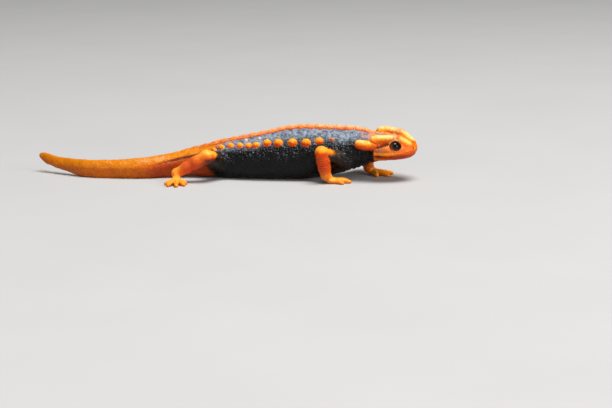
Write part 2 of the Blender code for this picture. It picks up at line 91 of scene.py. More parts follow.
HALF_WIDTH = ((-96, 0.9), (-57, 2.5), (-44, 3.7), (-14, 9.1), (-2, 9.5), (18, 7.8), (22.5, 6.9), (25.5, 7.2),
              (28.5, 8.6), (31, 8.7), (40, 5.1), (41.9, 4.4))
# Exponents of the cross-section: 2 is an ellipse, less is pointed, more is boxy.
UPPER_FORM = ((-96, 1.6), (-57, 1.55), (-42, 1.8), (-26, 2.5), (-19, 2.15), (0, 1.75), (18, 1.8), (25, 2.1),
              (29, 2.9), (37, 2.7), (41.9, 2.3))
LOWER_FORM = ((-96, 1.6), (-50, 1.7), (-20, 2.4), (20, 2.3), (29, 2.1), (41.9, 2.1))
HEAD_ROLL = ((-96, 0.0), (17, 0.0), (27, 5.0), (41.9, 5.0))  # degrees, the crown towards the right


def curve(knots, x):
    """Value at x of the monotone cubic curve through the knots."""
    at, value = np.array(knots, float).T
    step = np.diff(at)
    slope = np.diff(value) / step
    tangent = np.concatenate([slope[:1], np.zeros(len(at) - 2), slope[-1:]])
    product = slope[1:] * slope[:-1]
    rising = product > 0
    tangent[1:-1][rising] = 2 * product[rising] / (slope[1:] + slope[:-1])[rising]
    i = np.clip(np.searchsorted(at, x, side="right") - 1, 0, len(step) - 1)
    t = np.clip((x - at[i]) / step[i], 0, 1)
    return (value[i] * (1 + 2 * t) * (1 - t) ** 2 + value[i + 1] * t * t * (3 - 2 * t)
            + step[i] * t * (1 - t) * (tangent[i] * (1 - t) - tangent[i + 1] * t))


def spine_frame(x):
    """Centre of the body's section at x, and the directions forward, left and up of its plane."""
    x = np.asarray(x, float)
    centre = np.stack([x, curve(SPINE_SIDE, x), curve(WIDEST_HEIGHT, x)], -1)
    bend = curve(SPINE_SIDE, x + 0.5) - curve(SPINE_SIDE, x - 0.5)
    forward = np.stack([np.ones_like(x), bend, np.zeros_like(x)], -1)
    forward /= np.linalg.norm(forward, axis=-1, keepdims=True)
    level = np.stack([-forward[..., 1], forward[..., 0], np.zeros_like(x)], -1)
    roll = np.radians(curve(HEAD_ROLL, x))[..., None]
    vertical = np.array([0.0, 0.0, 1.0])
    left = level * np.cos(roll) + vertical * np.sin(roll)
    up = vertical * np.cos(roll) - level * np.sin(roll)
    return centre, forward, left, up


def on_body(x, side, z):
    """The point at station x, side to the left of the spine, at height z before the head's roll."""
    centre, _, left, up = spine_frame(x)
    return centre + side * left + (z - centre[..., 2]) * up


def section_sizes(x):
    """Half width, rise to the back, drop to the belly, and the two exponents of the section at x."""
    widest = curve(WIDEST_HEIGHT, x)
    return (curve(HALF_WIDTH, x), curve(BACK_HEIGHT, x) - widest,
            widest - curve(BELLY_HEIGHT, x), curve(UPPER_FORM, x), curve(LOWER_FORM, x))


# Raised forms of the head and back, as rows of (x, side, z, radius); side is given for the left.
HEAD_RIDGE = ((27.7, 6.6, 15.95, 1.4), (30.7, 6.3, 16.2, 1.4), (33.4, 5.3, 16.1, 1.3), (36, 4.2, 15.7, 1.2),
              (38.4, 3.2, 14.7, 1.05), (39.9, 2.6, 13.8, 0.9))
PAROTOID = ((21.6, 7.4, 14.0, 1.35), (24.1, 7.6, 14.0, 1.6), (26.6, 7.5, 14.1, 1.45), (28.8, 7.3, 14.0, 0.9))
SPINE_RIDGE_FRONT = 32.5  # it ends between the ridges of the head
SPINE_RIDGE_BACK = -50.0
SPINE_RIDGE_RADIUS = ((-50, 0.25), (-42, 0.7), (-30, 0.95), (-10, 1.0), (15, 1.05), (24, 0.85), (27, 0.65),
                      (29.5, 0.8), (32.5, 0.5))
SPINE_RIDGE_LIFT = 0.15  # of its radius, how far the ridge's centre line lies over the back's own line
KNOB_SPACING = 3.45  # one knob of the ridge for each vertebra
KNOB_HEIGHT = 0.1

# One wart for each rib, where the back turns into the flank: x, side as a share of the half width, radius.
RIB_WARTS = ((12.0, 0.73, 0.7), (7.5, 0.755, 1.3), (2.8, 0.785, 1.5), (-2.1, 0.765, 1.5), (-7.2, 0.74, 1.45),
             (-11.3, 0.70, 1.35), (-15.25, 0.74, 1.2), (-18.0, 0.735, 1.05), (-21.1, 0.70, 1.05),
             (-24.5, 0.675, 1.1), (-27.9, 0.69, 1.05), (-30.6, 0.73, 0.9))
WART_LENGTHS = (1.0, 0.8, 1.0)  # along the body, out from it and up, as shares of the radius

EYE_X = 35.0
EYE_SIDE = 5.1
EYE_HEIGHT = 13.45
EYE_RADIUS = 2.1

MOUTH_HEIGHT = ((26, 10.6), (30, 10.5), (36, 10.25), (41.9, 10.4))
MOUTH_CORNER_X = 28.4

DIGIT_RADII = (1.15, 0.88, 0.82, 0.68)  # palm, knuckle, middle joint and tip
PALM_REACH = 2.0  # from the wrist to the middle of the palm
PALM_HEIGHT = 1.1
PALM_RADIUS = 1.75
DIGIT_ARCH = 0.35  # how far a digit's middle joint stands over its ends
DIGIT_BEND_SHARE = 0.6  # of the reach, where the middle joint is
DIGIT_FLATTENED = 0.12  # how far a digit's tip is pressed on the floor
KNUCKLE_LIFT = 0.1

# Radii of a limb at its joints and mid-lengths, and the reach of its digits
ARM = dict(radii=(2.5, 1.95, 2.2, 2.25, 1.85), reach=(5.2, 7.2, 7.2, 5.6))
LEG = dict(radii=(3.3, 2.5, 2.3, 2.15, 1.7), reach=(4.6, 6.3, 7.3, 6.8, 5.0))
# Joints from root to wrist or ankle, and in degrees the palm's heading and the digits' turns from it
LIMBS = {
    "right_arm": dict(ARM, joints=((16.8, -5.6, 7.3), (8.5, -12.2, 11.3), (9.9, -10.6, 3.1)),
                      heading=17, spread=(-44, -14, 17, 50)),
    "left_arm": dict(ARM, joints=((17.0, 5.6, 7.3), (22.8, 13.6, 8.2), (24.4, 8.0, 2.7)),
                     heading=-12, spread=(52, 16, -24, -62)),
    "right_leg": dict(LEG, joints=((-28.2, -5.0, 6.4), (-32.1, -12.6, 9.5), (-43.0, -12.4, 3.4)),
                      heading=-84, spread=(58, 30, 2, -26, -54)),
    "left_leg": dict(LEG, joints=((-28.4, 5.8, 6.6), (-30.4, 13.4, 8.8), (-24.6, 15.0, 3.4)),
                     heading=48, spread=(-56, -28, 0, 28, 56)),
}


# ---- forms that only the skin has
# Lengths along the body are stations x, heights are z before the head's roll, all in millimetres.
# Where two stations or heights bound a form, it starts at the first and is whole at the second.
LID_THICKNESS = 0.38
LID_OPENING = (2.1, 1.72)  # half length and half height of the opening between the lids
LID_POINTED = 1.85  # 2 would make the opening an ellipse
LID_REACH = 5.0  # the lids lie within this distance of the eye's centre
LID_FOLD = 0.75  # from the lids' edge to the fold round them
LID_FOLD_DEPTH = 0.1
LID_TOP = (35.9, 4.7, 16.6)  # the upper lid swells the head's ridge here: x, side, z
LID_SWELL, LID_SWELL_SIZE = 0.4, 1.5
EYE_AXIS = (0.24, -0.93, 0.26)  # the way the right eye looks
EYE_GAP = 0.03  # between the eyeball and the skin round it

MOUTH_DEPTH = 0.5
MOUTH_WIDTH = 0.26
LIP_ROLL = 0.26  # the upper lip's edge stands out over the mouth
LIP_HEIGHT = 0.85  # of the roll's middle over the mouth
JAW_INSET = 0.32  # the lower jaw lies inside the upper lip
NOSTRIL = (41.1, 2.7, 12.4)  # x, side, z
NOSTRIL_RADIUS = 0.3
NOSTRIL_DEPTH = 0.5
NOSTRIL_RIM, NOSTRIL_RIM_WIDTH = 0.1, 0.22
BROW_FURROW = ((26.2, 13.2), (29.5, 13.6), (32.8, 14.4))  # under the head's ridge, from gland to eye: x, z
BROW_DEPTH, BROW_WIDTH = 0.45, 0.42
CHEEK_SWELL = ((30.6, 12.3), 1.7, 1.0)  # its middle (x, z), how far it is drawn out along x, its size
CHEEK_RISE = 0.3
SNOUT_HOLLOW = ((38.2, 13.0), 1.3, 0.9)  # between eye and nostril, in the same way
SNOUT_HOLLOW_DEPTH = 0.14
THROAT_FOLD_X = 25.6
THROAT_FOLD_DEPTH = 0.4
NECK_FOLDS = (19.6, 21.3, 23.0)
NECK_FOLD_DEPTH = 0.22
NECK_FOLD_LEAN = 0.12

# Stations along the tail, and the share of the rise to the back where the furrow is
TAIL_FURROW = ((-58, 0.05), (-47, 0.38), (-41, 0.54), (-37.6, 0.6), (-31, 0.75), (-27, 0.87))
TAIL_FURROW_DEPTH = 0.3
COSTAL_DEPTH = 0.09  # of the furrow between two ribs
COSTAL_WIDTH = 0.45
FLANK_BACK, FLANK_FRONT = -26.0, 14.0
PALE_WARTS = ((-19.1, 0.42, 0.6), (-14.3, 0.42, 0.6))  # as RIB_WARTS; their pale colour is a painted highlight
UNEVEN = ((0.16, 2.6), (0.05, 1.1))  # slow unevenness of the skin: height and size of its lumps
UNEVEN_RIDGES = (0.06, 1.4)  # of the head's ridges and glands, in the same way
RIDGE_SINKS = 0.9  # how far the spine's ridge sinks into the tail at its rear end
KNOBS_TALLER = ((-5, 8, 0.1), (24, 27, 0.15))  # between two stations the knobs gain this height

GRANULE_SPACING = 0.6
GRANULE_HEIGHT = 0.2
GRANULE_MIDDLE = 0.45  # a granule's height counts from here, between its seam at 0 and its top at 1
HEAD_GRAIN_SPACING = 1.1
HEAD_GRAIN_HEIGHT = 0.16
FLOOR_CLEARANCE = 0.02

# Roundness of the joins, as the length over which one form runs into another
JOIN_RIDGE, JOIN_WART, JOIN_LIMB, JOIN_LENGTHS, JOIN_DIGIT = 0.7, 0.35, 1.5, 0.9, 0.45
JOIN_LID, JOIN_LID_EDGE, JOIN_ROW = 0.5, 0.3, 0.4
JOIN_PALM, JOIN_HAND, JOIN_KNUCKLES, JOIN_TOES = 0.6, 0.7, 0.2, 0.15
JOIN_RIDGE_END = 1.3  # more, where a ridge or gland of the head runs out
END_SINKS = 0.25
END_LENGTH = 3.5

# Net
NET_STEP = 0.25
BLOCK = 4  # net steps to a coarse cell
BAND = 1.5  # a coarse cell further than this from the surface is left empty
NEAR = 4  # raised forms of the body lie within this distance of its plain surface
FAR = 9.0  # stands for any distance too long to matter
FARTHEST = 99.0  # more than any distance in the field
CHUNK = 150000  # points worked out at a time
HAIR = 0.001  # the distance of a corner that is moved just in or just out of the skin
FIELD_BOX = ((TAIL_END - 3, -22, -1.2), (SNOUT_END + 3, 26, 21))  # low and high corners of the net
LONGEST_MOVE = 0.3  # of a point, when it is moved onto the skin


# ---- small mathematics

def fade(value, low, high):
    """0 below low, 1 above high, smooth between; falls instead where high is less than low."""
    t = np.clip((value - low) / (high - low), 0, 1)
    return t * t * (3 - 2 * t)


def bell(value, width):
    return np.exp(-(value / width) ** 2)


def spot(x, z, middle, drawn_out, size):
    """1 in the middle of a spot on the head's side, and less away from it."""
    return bell(np.hypot((x - middle[0]) / drawn_out, z - middle[1]), size)


def length_of(vectors):
    return np.sqrt((vectors ** 2).sum(1))


def smooth_min(a, b, k):
    """The lesser of two distances, rounded where they are nearly equal."""
    h = np.maximum(k - np.abs(a - b), 0) / k
    return np.minimum(a, b) - h * h * k / 4


RANDOM = np.random.default_rng(7).random((4096, 3))
PRIMES = (73856093, 19349663, 83492791)


def random_at(cell):
    """Three random numbers for each whole-number place, the same on every run."""
    a, b, c = (cell * PRIMES).T
    return RANDOM[(a ^ b ^ c) & (len(RANDOM) - 1)]


def lumps(points, size):
    """Smooth noise from -1 to 1, with lumps of about the given size."""
    place = points / size
    low = np.floor(place).astype(np.int64)
    t = place - low
    t = t * t * (3 - 2 * t)
    total = np.zeros(len(points))
    for corner in np.ndindex(2, 2, 2):
        weight = np.prod(np.where(corner, t, 1 - t), 1)
        total += weight * random_at(low + corner)[:, 0]
    return 2 * total - 1


def granules(points, spacing):
    """1 at the top of a granule and 0 in the seams between granules."""
    place = points / spacing
    low = np.floor(place).astype(np.int64)
    nearest = np.full(len(points), FAR)
    for offset in np.ndindex(3, 3, 3):
        cell = low + np.array(offset) - 1
        nearest = np.minimum(nearest, ((cell + random_at(cell) - place) ** 2).sum(1))
    return np.clip(1 - nearest / 0.5, 0, 1)


# ---- the straightened body

TABLE_STEP = 0.05
STATION_LIMITS = (TAIL_END + 0.5, SNOUT_END - 0.5)
STATIONS = np.arange(STATION_LIMITS[0], STATION_LIMITS[1] + TABLE_STEP, TABLE_STEP)
# A row for each station: centre, forward, left, up, half width, rise, drop and two exponents
TABLE = np.hstack([*spine_frame(STATIONS), np.stack(section_sizes(STATIONS), 1)])
CENTRE, FORWARD, LEFT, UP = slice(0, 3), slice(3, 6), slice(6, 9), slice(9, 12)


def look_up(x):
    """The table's rows at stations x, worked out between its entries."""
    at = np.clip((x - STATIONS[0]) / TABLE_STEP, 0, len(STATIONS) - 1.001)
    low = at.astype(np.int64)
    part = (at - low)[:, None]
    return TABLE[low] * (1 - part) + TABLE[low + 1] * part


class Place:
    """Where points lie along, beside and over the spine, as if the body were straight."""

    def __init__(self, points):
        station = np.clip(points[:, 0], *STATION_LIMITS)
        for _ in range(4):
            row = look_up(station)
            ahead = ((points - row[:, CENTRE]) * row[:, FORWARD]).sum(1)
            station = np.clip(station + ahead * row[:, 3], *STATION_LIMITS)
        row = look_up(station)
        offset = points - row[:, CENTRE]
        self.x = station + (offset * row[:, FORWARD]).sum(1) * row[:, 3]
        self.side = (offset * row[:, LEFT]).sum(1)
        self.height = (offset * row[:, UP]).sum(1)
        self.z = row[:, 2] + self.height
        self.width, self.rise, self.drop, self.upper, self.lower = row[:, 12:].T
        self.up, self.down = self.height / self.rise, -self.height / self.drop
        self.points = points
        self.folded = np.stack([self.x, np.abs(self.side), self.z], 1)

    def of(self, chosen):
        """The same for only the chosen points."""
        part = copy.copy(self)
        for name, values in vars(self).items():
            setattr(part, name, values[chosen])
        return part


def body_distance(place):
    """Distance to the plain body, the same form as the solids' loft."""
    above = place.height > 0
    reach = np.where(above, place.rise, place.drop)
    form = np.where(above, place.upper, place.lower)
    across = np.abs(place.side) / place.width
    along_up = np.abs(place.height) / reach
    ring = np.maximum((across ** form + along_up ** form) ** (1 / form), 0.05)
    steep = np.hypot((across / ring) ** (form - 1) / place.width, (along_up / ring) ** (form - 1) / reach)
    front = (place.x - (SNOUT_END - SNOUT_ROUND)) / SNOUT_ROUND
    rear = (TAIL_END + TAIL_ROUND - place.x) / TAIL_ROUND
    closing = np.maximum(np.maximum(front, rear), 0)
    total = (ring ** END_BLUNTNESS + closing ** END_BLUNTNESS) ** (1 / END_BLUNTNESS)
    end_round = np.where(place.x > 0, SNOUT_ROUND, TAIL_ROUND)
    slope = np.hypot(steep * (ring / total) ** (END_BLUNTNESS - 1),
                     (closing / total) ** (END_BLUNTNESS - 1) / end_round)
    return (total - 1) / slope


# ---- rows of balls: ridges, glands and limbs

def length_between(points, start, end):
    """Distance to a round length from one ball to another, and the share of the way along it."""
    way = end[:3] - start[:3]
    share = np.clip((points - start[:3]) @ way / (way @ way), 0, 1)
    away = points - start[:3] - share[:, None] * way
    return length_of(away) - (start[3] + share * (end[3] - start[3])), share


def row_distance(points, row, join):
    """Distance to a row of balls joined by round lengths, and how many lengths along the nearest is."""
    distance = np.full(len(points), FARTHEST)
    along = np.zeros(len(points))
    for k in range(len(row) - 1):
        length, share = length_between(points, row[k], row[k + 1])
        along = np.where(length < distance, k + share, along)
        distance = smooth_min(distance, length, join)
    return distance, along


def finer_row(row, count):
    """A row of balls with more of them on the same smooth curve."""
    row = np.array(row, float)
    row = np.vstack([2 * row[0] - row[1], row, 2 * row[-1] - row[-2]])
    row[[0, -1], -1] = row[[1, -2], -1]
    result = []
    for at in np.linspace(0, len(row) - 3, count):
        k = min(int(at), len(row) - 4)
        t = at - k
        a, b, c, d = row[k:k + 4]
        result.append((2 * b + (c - a) * t + (2 * a - 5 * b + 4 * c - d) * t * t
                       + (3 * b - a - 3 * c + d) * t ** 3) / 2)
    return np.array(result)


def head_form(row, low, high, end):
    """A ridge or gland of the head, the stations it stays between, and the one where it runs out."""
    return finer_row(row, 3 * len(row)), low, high, end


RIDGE_FORM = head_form(HEAD_RIDGE, 24, 44, 39.5)
GLAND_FORM = head_form(PAROTOID, 17, 34, 29.0)


def form_distance(place, form):
    """Distance to a ridge or gland of the head, far where it doesn't reach, and where it does."""
    row, low, high, _ = form
    inside = (place.x > low) & (place.x < high)
    distance = np.full(len(place.x), FAR)
    distance[inside], _ = row_distance(place.folded[inside], row, JOIN_ROW)
    return distance, inside


def spine_ridge_distance(place):
    """Distance to the ridge along the back, with a knob for each vertebra."""
    x = place.x
    radius = curve(SPINE_RIDGE_RADIUS, x) - RIDGE_SINKS * fade(x, -38, -49)
    knob = KNOB_HEIGHT
    for low, high, more in KNOBS_TALLER:
        knob = knob + more * fade(x, low, high)
    knobs = 1 + knob * np.cos(2 * math.pi * x / KNOB_SPACING)
    height = place.height - place.rise - SPINE_RIDGE_LIFT * radius
    beyond = np.maximum(np.maximum(x - SPINE_RIDGE_FRONT, SPINE_RIDGE_BACK - x), 0)
    return np.sqrt(place.side ** 2 + height ** 2 + beyond ** 2) - radius * knobs


def wart_rows(warts):
    """The straightened centre and the radius of each wart of one side."""
    rows = []
    for x, share, radius in warts:
        width, rise, _, form, _ = section_sizes(np.float64(x))
        height = float(curve(WIDEST_HEIGHT, x) + rise * (1 - share ** form) ** (1 / form))
        rows.append((np.array([x, share * width, height]), radius))
    return rows


RIB_WART_ROWS = wart_rows(RIB_WARTS)
PALE_WART_ROWS = wart_rows(PALE_WARTS)


def wart_distance(folded, rows):
    """Distance to the nearest wart and the height over its centre, both sides folded onto one."""
    distance = np.full(len(folded), FAR)
    over = np.zeros(len(folded))
    for centre, radius in rows:
        near = np.flatnonzero(np.abs(folded[:, 0] - centre[0]) < NEAR)
        away = (folded[near] - centre) / (radius * np.array(WART_LENGTHS))
        each = (length_of(away) - 1) * radius * 0.9
        nearest = each < distance[near]
        distance[near[nearest]] = each[nearest]
        over[near[nearest]] = away[nearest, 2]
    return distance, over


# ---- folds, mouth, nostrils and lids

def tail_furrow(place):
    """1 along the furrow under the bright band of the tail's base, and 0 away from it."""
    over = (place.up - curve(TAIL_FURROW, place.x)) * place.rise
    return bell(over, 0.4) * fade(place.x, -28, -31) * fade(place.x, -55, -43)


def relief(place):
    """How far folds and furrows lift (+) or sink (-) the body's skin."""
    x, height = place.x, place.height
    flank = fade(place.up, 0.75, 0.45) * fade(place.down, 0.9, 0)
    flank *= fade(x, FLANK_BACK - 2, FLANK_BACK + 2) * fade(x, FLANK_FRONT + 2, FLANK_FRONT - 2)
    from_furrow = np.abs((x / KNOB_SPACING + 0.5) % 1 - 0.5) * KNOB_SPACING
    lift = -COSTAL_DEPTH * bell(from_furrow, COSTAL_WIDTH) * flank - TAIL_FURROW_DEPTH * tail_furrow(place)
    (tall, large), (low, small) = UNEVEN
    lift += tall * lumps(place.points, large) * fade(x, 30, 20) + low * lumps(place.points, small)
    for fold in NECK_FOLDS:
        lift -= NECK_FOLD_DEPTH * bell(x - fold - NECK_FOLD_LEAN * height, 0.4) * fade(height, 3.0, 0.0)
    lift -= THROAT_FOLD_DEPTH * bell(x - THROAT_FOLD_X, 0.5) * fade(place.z, 10.2, 8.6)
    head = x > MOUTH_CORNER_X - 4
    lift[head] += head_relief(*place.folded[head].T)
    return lift


def head_relief(x, side, z):
    """Lips, mouth, cheek and the furrow under the head's ridge."""
    over_mouth = z - curve(MOUTH_HEIGHT, x)
    jaw = fade(x, MOUTH_CORNER_X - 1.2, MOUTH_CORNER_X + 0.6) * fade(side, 0.0, 2.0 + 3 * fade(x, 39, 37))
    jaw = np.maximum(jaw, fade(x, 40.0, 41.0))
    lips = jaw * fade(x, 40.5, 37)
    lift = -MOUTH_DEPTH * bell(over_mouth, MOUTH_WIDTH) * jaw
    lift += LIP_ROLL * bell(over_mouth - LIP_HEIGHT, 0.6) * lips
    lift -= JAW_INSET * fade(over_mouth, 0.1, -0.1) * fade(over_mouth, -2.6, -0.3) * lips
    start, end = BROW_FURROW[0][0], BROW_FURROW[-1][0]
    reach = fade(x, start - 1, start + 1) * fade(x, end + 1, end) * fade(side, 4, 5.5)
    lift -= BROW_DEPTH * bell(z - curve(BROW_FURROW, x), BROW_WIDTH) * reach
    lift += CHEEK_RISE * spot(x, z, *CHEEK_SWELL) * fade(side, 5, 7)
    return lift - SNOUT_HOLLOW_DEPTH * spot(x, z, *SNOUT_HOLLOW)


def eye_frame(sign):
    """Centre of an eye and the directions forward, up and outward in which it is set."""
    centre = on_body(np.float64(EYE_X), sign * EYE_SIDE, EYE_HEIGHT)
    _, _, _, up = spine_frame(np.float64(EYE_X))
    outward = np.array(EYE_AXIS) * (1, -sign, 1)
    outward /= np.linalg.norm(outward)
    forward = -sign * np.cross(up, outward)
    forward /= np.linalg.norm(forward)
    return centre, forward, -sign * np.cross(outward, forward), outward


def lid_rim(u, v, length, height):
    """1 on the rim of an opening of this half length and half height, less inside."""
    return ((np.abs(u) / length) ** LID_POINTED + (np.abs(v) / height) ** LID_POINTED) ** (1 / LID_POINTED)


def with_lids(points, distance):
    """Lays a lid over each eyeball, opens it, and keeps the skin off the ball."""
    length, height = LID_OPENING
    for sign in EYE_NODES.values():
        centre, *axes = eye_frame(sign)
        near = ((points - centre) ** 2).sum(1) < LID_REACH ** 2
        offset = points[near] - centre
        away = length_of(offset)
        u, v, w = (offset @ axis for axis in axes)
        skin = smooth_min(distance[near], away - EYE_RADIUS - LID_THICKNESS, JOIN_LID)
        opening = np.maximum((lid_rim(u, v, length, height) - 1) * height, -w)
        fold = lid_rim(u, v, length + LID_FOLD, height + LID_FOLD) - 1
        skin += LID_FOLD_DEPTH * bell(fold, 0.07) * fade(w, 0, 1) * fade(v - u, -1.5, 1.5)
        skin = -smooth_min(-skin, opening, JOIN_LID_EDGE)
        distance[near] = np.maximum(skin, EYE_RADIUS + EYE_GAP - away)
    return distance


# ---- limbs
# How far along a limb a place is: 0 at the root, 1 at the elbow or knee, 2 at the wrist, 3 at the tips.
PALM_ALONG = 2.1
DIGITS_ALONG = 0.9
PALM_LENGTHS = (PALM_RADIUS * 1.12, PALM_RADIUS * 1.2, PALM_HEIGHT + 0.05)  # of its ball, halved
LINK_RADII = (0.92, 0.95)  # of the length from wrist to palm, as shares of the wrist and the palm's height
LIMB_MARGIN = 6


def direction(degrees):
    return np.array([math.cos(math.radians(degrees)), math.sin(math.radians(degrees))])


class Limb:
    """One arm or leg, its palm and its digits, as rows of balls."""

    def __init__(self, radii, reach, joints, heading, spread):
        root, bend, end = (np.array(joint, float) for joint in joints)
        centres = (root, (root + bend) / 2, bend, (bend + end) / 2, end)
        line = [(*centre, radius) for centre, radius in zip(centres, radii)]
        self.heights = [joint[2] for joint in joints]
        self.arm = np.vstack([finer_row(line[:3], 4)[:-1], finer_row(line[2:], 4)])
        self.ahead = direction(heading)
        self.palm = np.array([*(end[:2] + PALM_REACH * self.ahead), PALM_HEIGHT])
        self.digits = [self.digit(heading + turn, length) for turn, length in zip(spread, reach)]
        places = np.vstack([self.arm, *self.digits])[:, :3]
        self.low, self.high = places.min(0) - LIMB_MARGIN, places.max(0) + LIMB_MARGIN

    def digit(self, heading, reach):
        """A finger or toe: middle of the palm, knuckle, arched middle joint, and tip on the floor."""
        tip = DIGIT_RADII[-1] - DIGIT_FLATTENED
        stops = ((0, PALM_HEIGHT), (PALM_RADIUS, DIGIT_RADII[1] + KNUCKLE_LIFT),
                 (DIGIT_BEND_SHARE * reach, tip + DIGIT_ARCH), (reach - DIGIT_RADII[-1], tip))
        out = direction(heading)
        return finer_row([(*(self.palm[:2] + away * out), height, radius)
                          for (away, height), radius in zip(stops, DIGIT_RADII)], 7)

    def near(self, points):
        return ((points > self.low) & (points < self.high)).all(1)

    def palm_distance(self, points):
        """Distance to the flattened palm and the length that joins it to the wrist."""
        x, y, up = (points - self.palm).T
        cos, sin = self.ahead
        local = np.stack([x * cos + y * sin, y * cos - x * sin, up], 1)
        palm = (length_of(local / PALM_LENGTHS) - 1) * PALM_LENGTHS[2]
        wrist = self.arm[-1] * (1, 1, 1, LINK_RADII[0])
        link, _ = length_between(points, wrist, np.array([*self.palm, PALM_HEIGHT * LINK_RADII[1]]))
        return smooth_min(palm, link, JOIN_PALM)

    def distance(self, points):
        """Distance to the limb, and how far along it the nearest place is."""
        distance, along = row_distance(points, self.arm, JOIN_LENGTHS)
        along = along * 2 / (len(self.arm) - 1)
        hand = self.palm_distance(points)
        along = np.where(hand < distance, PALM_ALONG, along)
        distance = smooth_min(distance, hand, JOIN_HAND)
        near = distance < FAR
        digits = np.full(near.sum(), FARTHEST)
        digit_along = np.zeros(near.sum())
        for digit in self.digits:
            each, lengths = row_distance(points[near], digit, JOIN_KNUCKLES)
            share = lengths * DIGITS_ALONG / (len(digit) - 1)
            digit_along = np.where(each < digits, PALM_ALONG + share, digit_along)
            digits = smooth_min(digits, each, JOIN_TOES)
        along[near] = np.where(digits < distance[near], digit_along, along[near])
        distance[near] = smooth_min(distance[near], digits, JOIN_DIGIT)
        return distance, along


LIMB_FORMS = {name: Limb(**limb) for name, limb in LIMBS.items()}


# ---- the whole skin

def join_head_form(distance, place, form):
    """Joins a ridge or gland of the head to the body, and lets it run out softly."""
    ridge, inside = form_distance(place, form)
    height, size = UNEVEN_RIDGES
    *_, end = form
    at_end = fade(place.x[inside], end - END_LENGTH, end)
    ridge = ridge[inside] - height * lumps(place.points[inside], size)
    ridge -= LID_SWELL * bell(length_of(place.folded[inside] - LID_TOP), LID_SWELL_SIZE)
    ridge += END_SINKS * at_end
    distance[inside] = smooth_min(distance[inside], ridge, JOIN_RIDGE + JOIN_RIDGE_END * at_end)


def body_with_forms(place):
    """Distance to the body with its ridges, glands, warts and folds."""
    distance = body_distance(place) - relief(place)
    near = distance < NEAR
    place = place.of(near)
    part = smooth_min(distance[near], spine_ridge_distance(place), JOIN_RIDGE)
    warts, _ = wart_distance(place.folded, RIB_WART_ROWS + PALE_WART_ROWS)
    part = smooth_min(part, warts, JOIN_WART)
    for form in (RIDGE_FORM, GLAND_FORM):
        join_head_form(part, place, form)
    from_nostril = length_of(place.folded - NOSTRIL)
    part += NOSTRIL_DEPTH * bell(from_nostril, NOSTRIL_RADIUS)
    part -= NOSTRIL_RIM * bell(from_nostril - 2 * NOSTRIL_RADIUS, NOSTRIL_RIM_WIDTH)
    distance[near] = part
    return distance


def skin_distance(points):
    """Distance from each point to the skin, less than 0 inside."""
    distance = with_lids(points, body_with_forms(Place(points)))
    for limb in LIMB_FORMS.values():
        near = limb.near(points)
        distance[near] = smooth_min(distance[near], limb.distance(points[near])[0], JOIN_LIMB)
    return distance


def in_chunks(function, points):
    return np.concatenate([function(points[k:k + CHUNK]) for k in range(0, len(points), CHUNK)])


def for_each_step(coarse):
    """The value of its coarse cell for every place of the net."""
    for axis in range(3):
        coarse = np.repeat(coarse, BLOCK, axis)
    return coarse


def sampled_field():
    """The distance on a grid, worked out closely only near the skin."""
    low, high = np.array(FIELD_BOX)
    cells = np.ceil((high - low) / (NET_STEP * BLOCK)).astype(int)
    middle = np.stack(np.meshgrid(*[np.arange(n) + 0.5 for n in cells], indexing="ij"), -1).reshape(-1, 3)
    coarse = in_chunks(skin_distance, low + middle * NET_STEP * BLOCK).reshape(cells)
    field = for_each_step(np.sign(coarse)) * FAR
    near = for_each_step(np.abs(coarse) < BAND)
    field[near] = in_chunks(skin_distance, low + np.argwhere(near) * NET_STEP)
    return without_pinches(field), low


def without_pinches(field):
    """The field, changed by a hair where the net would touch itself along an edge."""
    for axis in 2 * (0, 1, 2):  # twice, since a change can pinch the net along another axis
        sheet = np.moveaxis(field, axis, 0)
        inside = sheet < 0
        a, b = inside[:, :-1, :-1], inside[:, 1:, 1:]
        c, d = inside[:, :-1, 1:], inside[:, 1:, :-1]
        for place in np.argwhere((a == b) & (c == d) & (a != c)):
            corners = [tuple(place + (0, i, j)) for i, j in np.ndindex(2, 2)]
            least = min(corners, key=lambda corner: abs(sheet[corner]))
            sheet[least] = -np.sign(sheet[least]) * HAIR
    return field


def net_of(field, origin):
    """Points and four-sided faces of the zero surface of a field on a grid."""
    inside = field < 0
    shape = np.array(field.shape) - 1
    count = sum(inside[i:i + shape[0], j:j + shape[1], k:k + shape[2]].astype(np.int8)
                for i, j, k in np.ndindex(2, 2, 2))
    crossed = (count > 0) & (count < 8)
    number = np.full(crossed.shape, -1, np.int64)
    number[crossed] = np.arange(crossed.sum())
    return origin + NET_STEP * net_points(field, np.argwhere(crossed)), net_faces(inside, number)


def net_points(field, cells):
    """For each cell of the grid, the middle of the places where the surface crosses its edges."""
    total = np.zeros((len(cells), 3))
    crossings = np.zeros((len(cells), 1))
    for axis in range(3):
        ahead, u, v = np.roll(np.eye(3, dtype=int), -axis, 0)
        for i, j in np.ndindex(2, 2):
            start = cells + i * u + j * v
            a = field[tuple(start.T)]
            b = field[tuple((start + ahead).T)]
            crosses = (a < 0) != (b < 0)
            share = np.where(crosses, a / np.where(a == b, 1, a - b), 0)[:, None]
            total += crosses[:, None] * (start + share * ahead)
            crossings += crosses[:, None]
    return total / crossings


def net_faces(inside, number):
    """A face round each edge of the grid that the surface crosses, turned outward."""
    faces = []
    for axis in range(3):
        _, u, v = np.roll(np.eye(3, dtype=int), -axis, 0)
        first = np.take(inside, range(inside.shape[axis] - 1), axis)
        second = np.take(inside, range(1, inside.shape[axis]), axis)
        edges = np.argwhere(first != second)
        edges = edges[(edges @ u > 0) & (edges @ v > 0)]
        edges = edges[(edges < number.shape).all(1)]
        quads = np.stack([number[tuple((edges - step).T)] for step in (0 * u, u, u + v, v)], 1)
        outward = first[tuple(edges.T)]
        faces.append(np.where(outward[:, None], quads, quads[:, ::-1]))
    return np.vstack(faces)


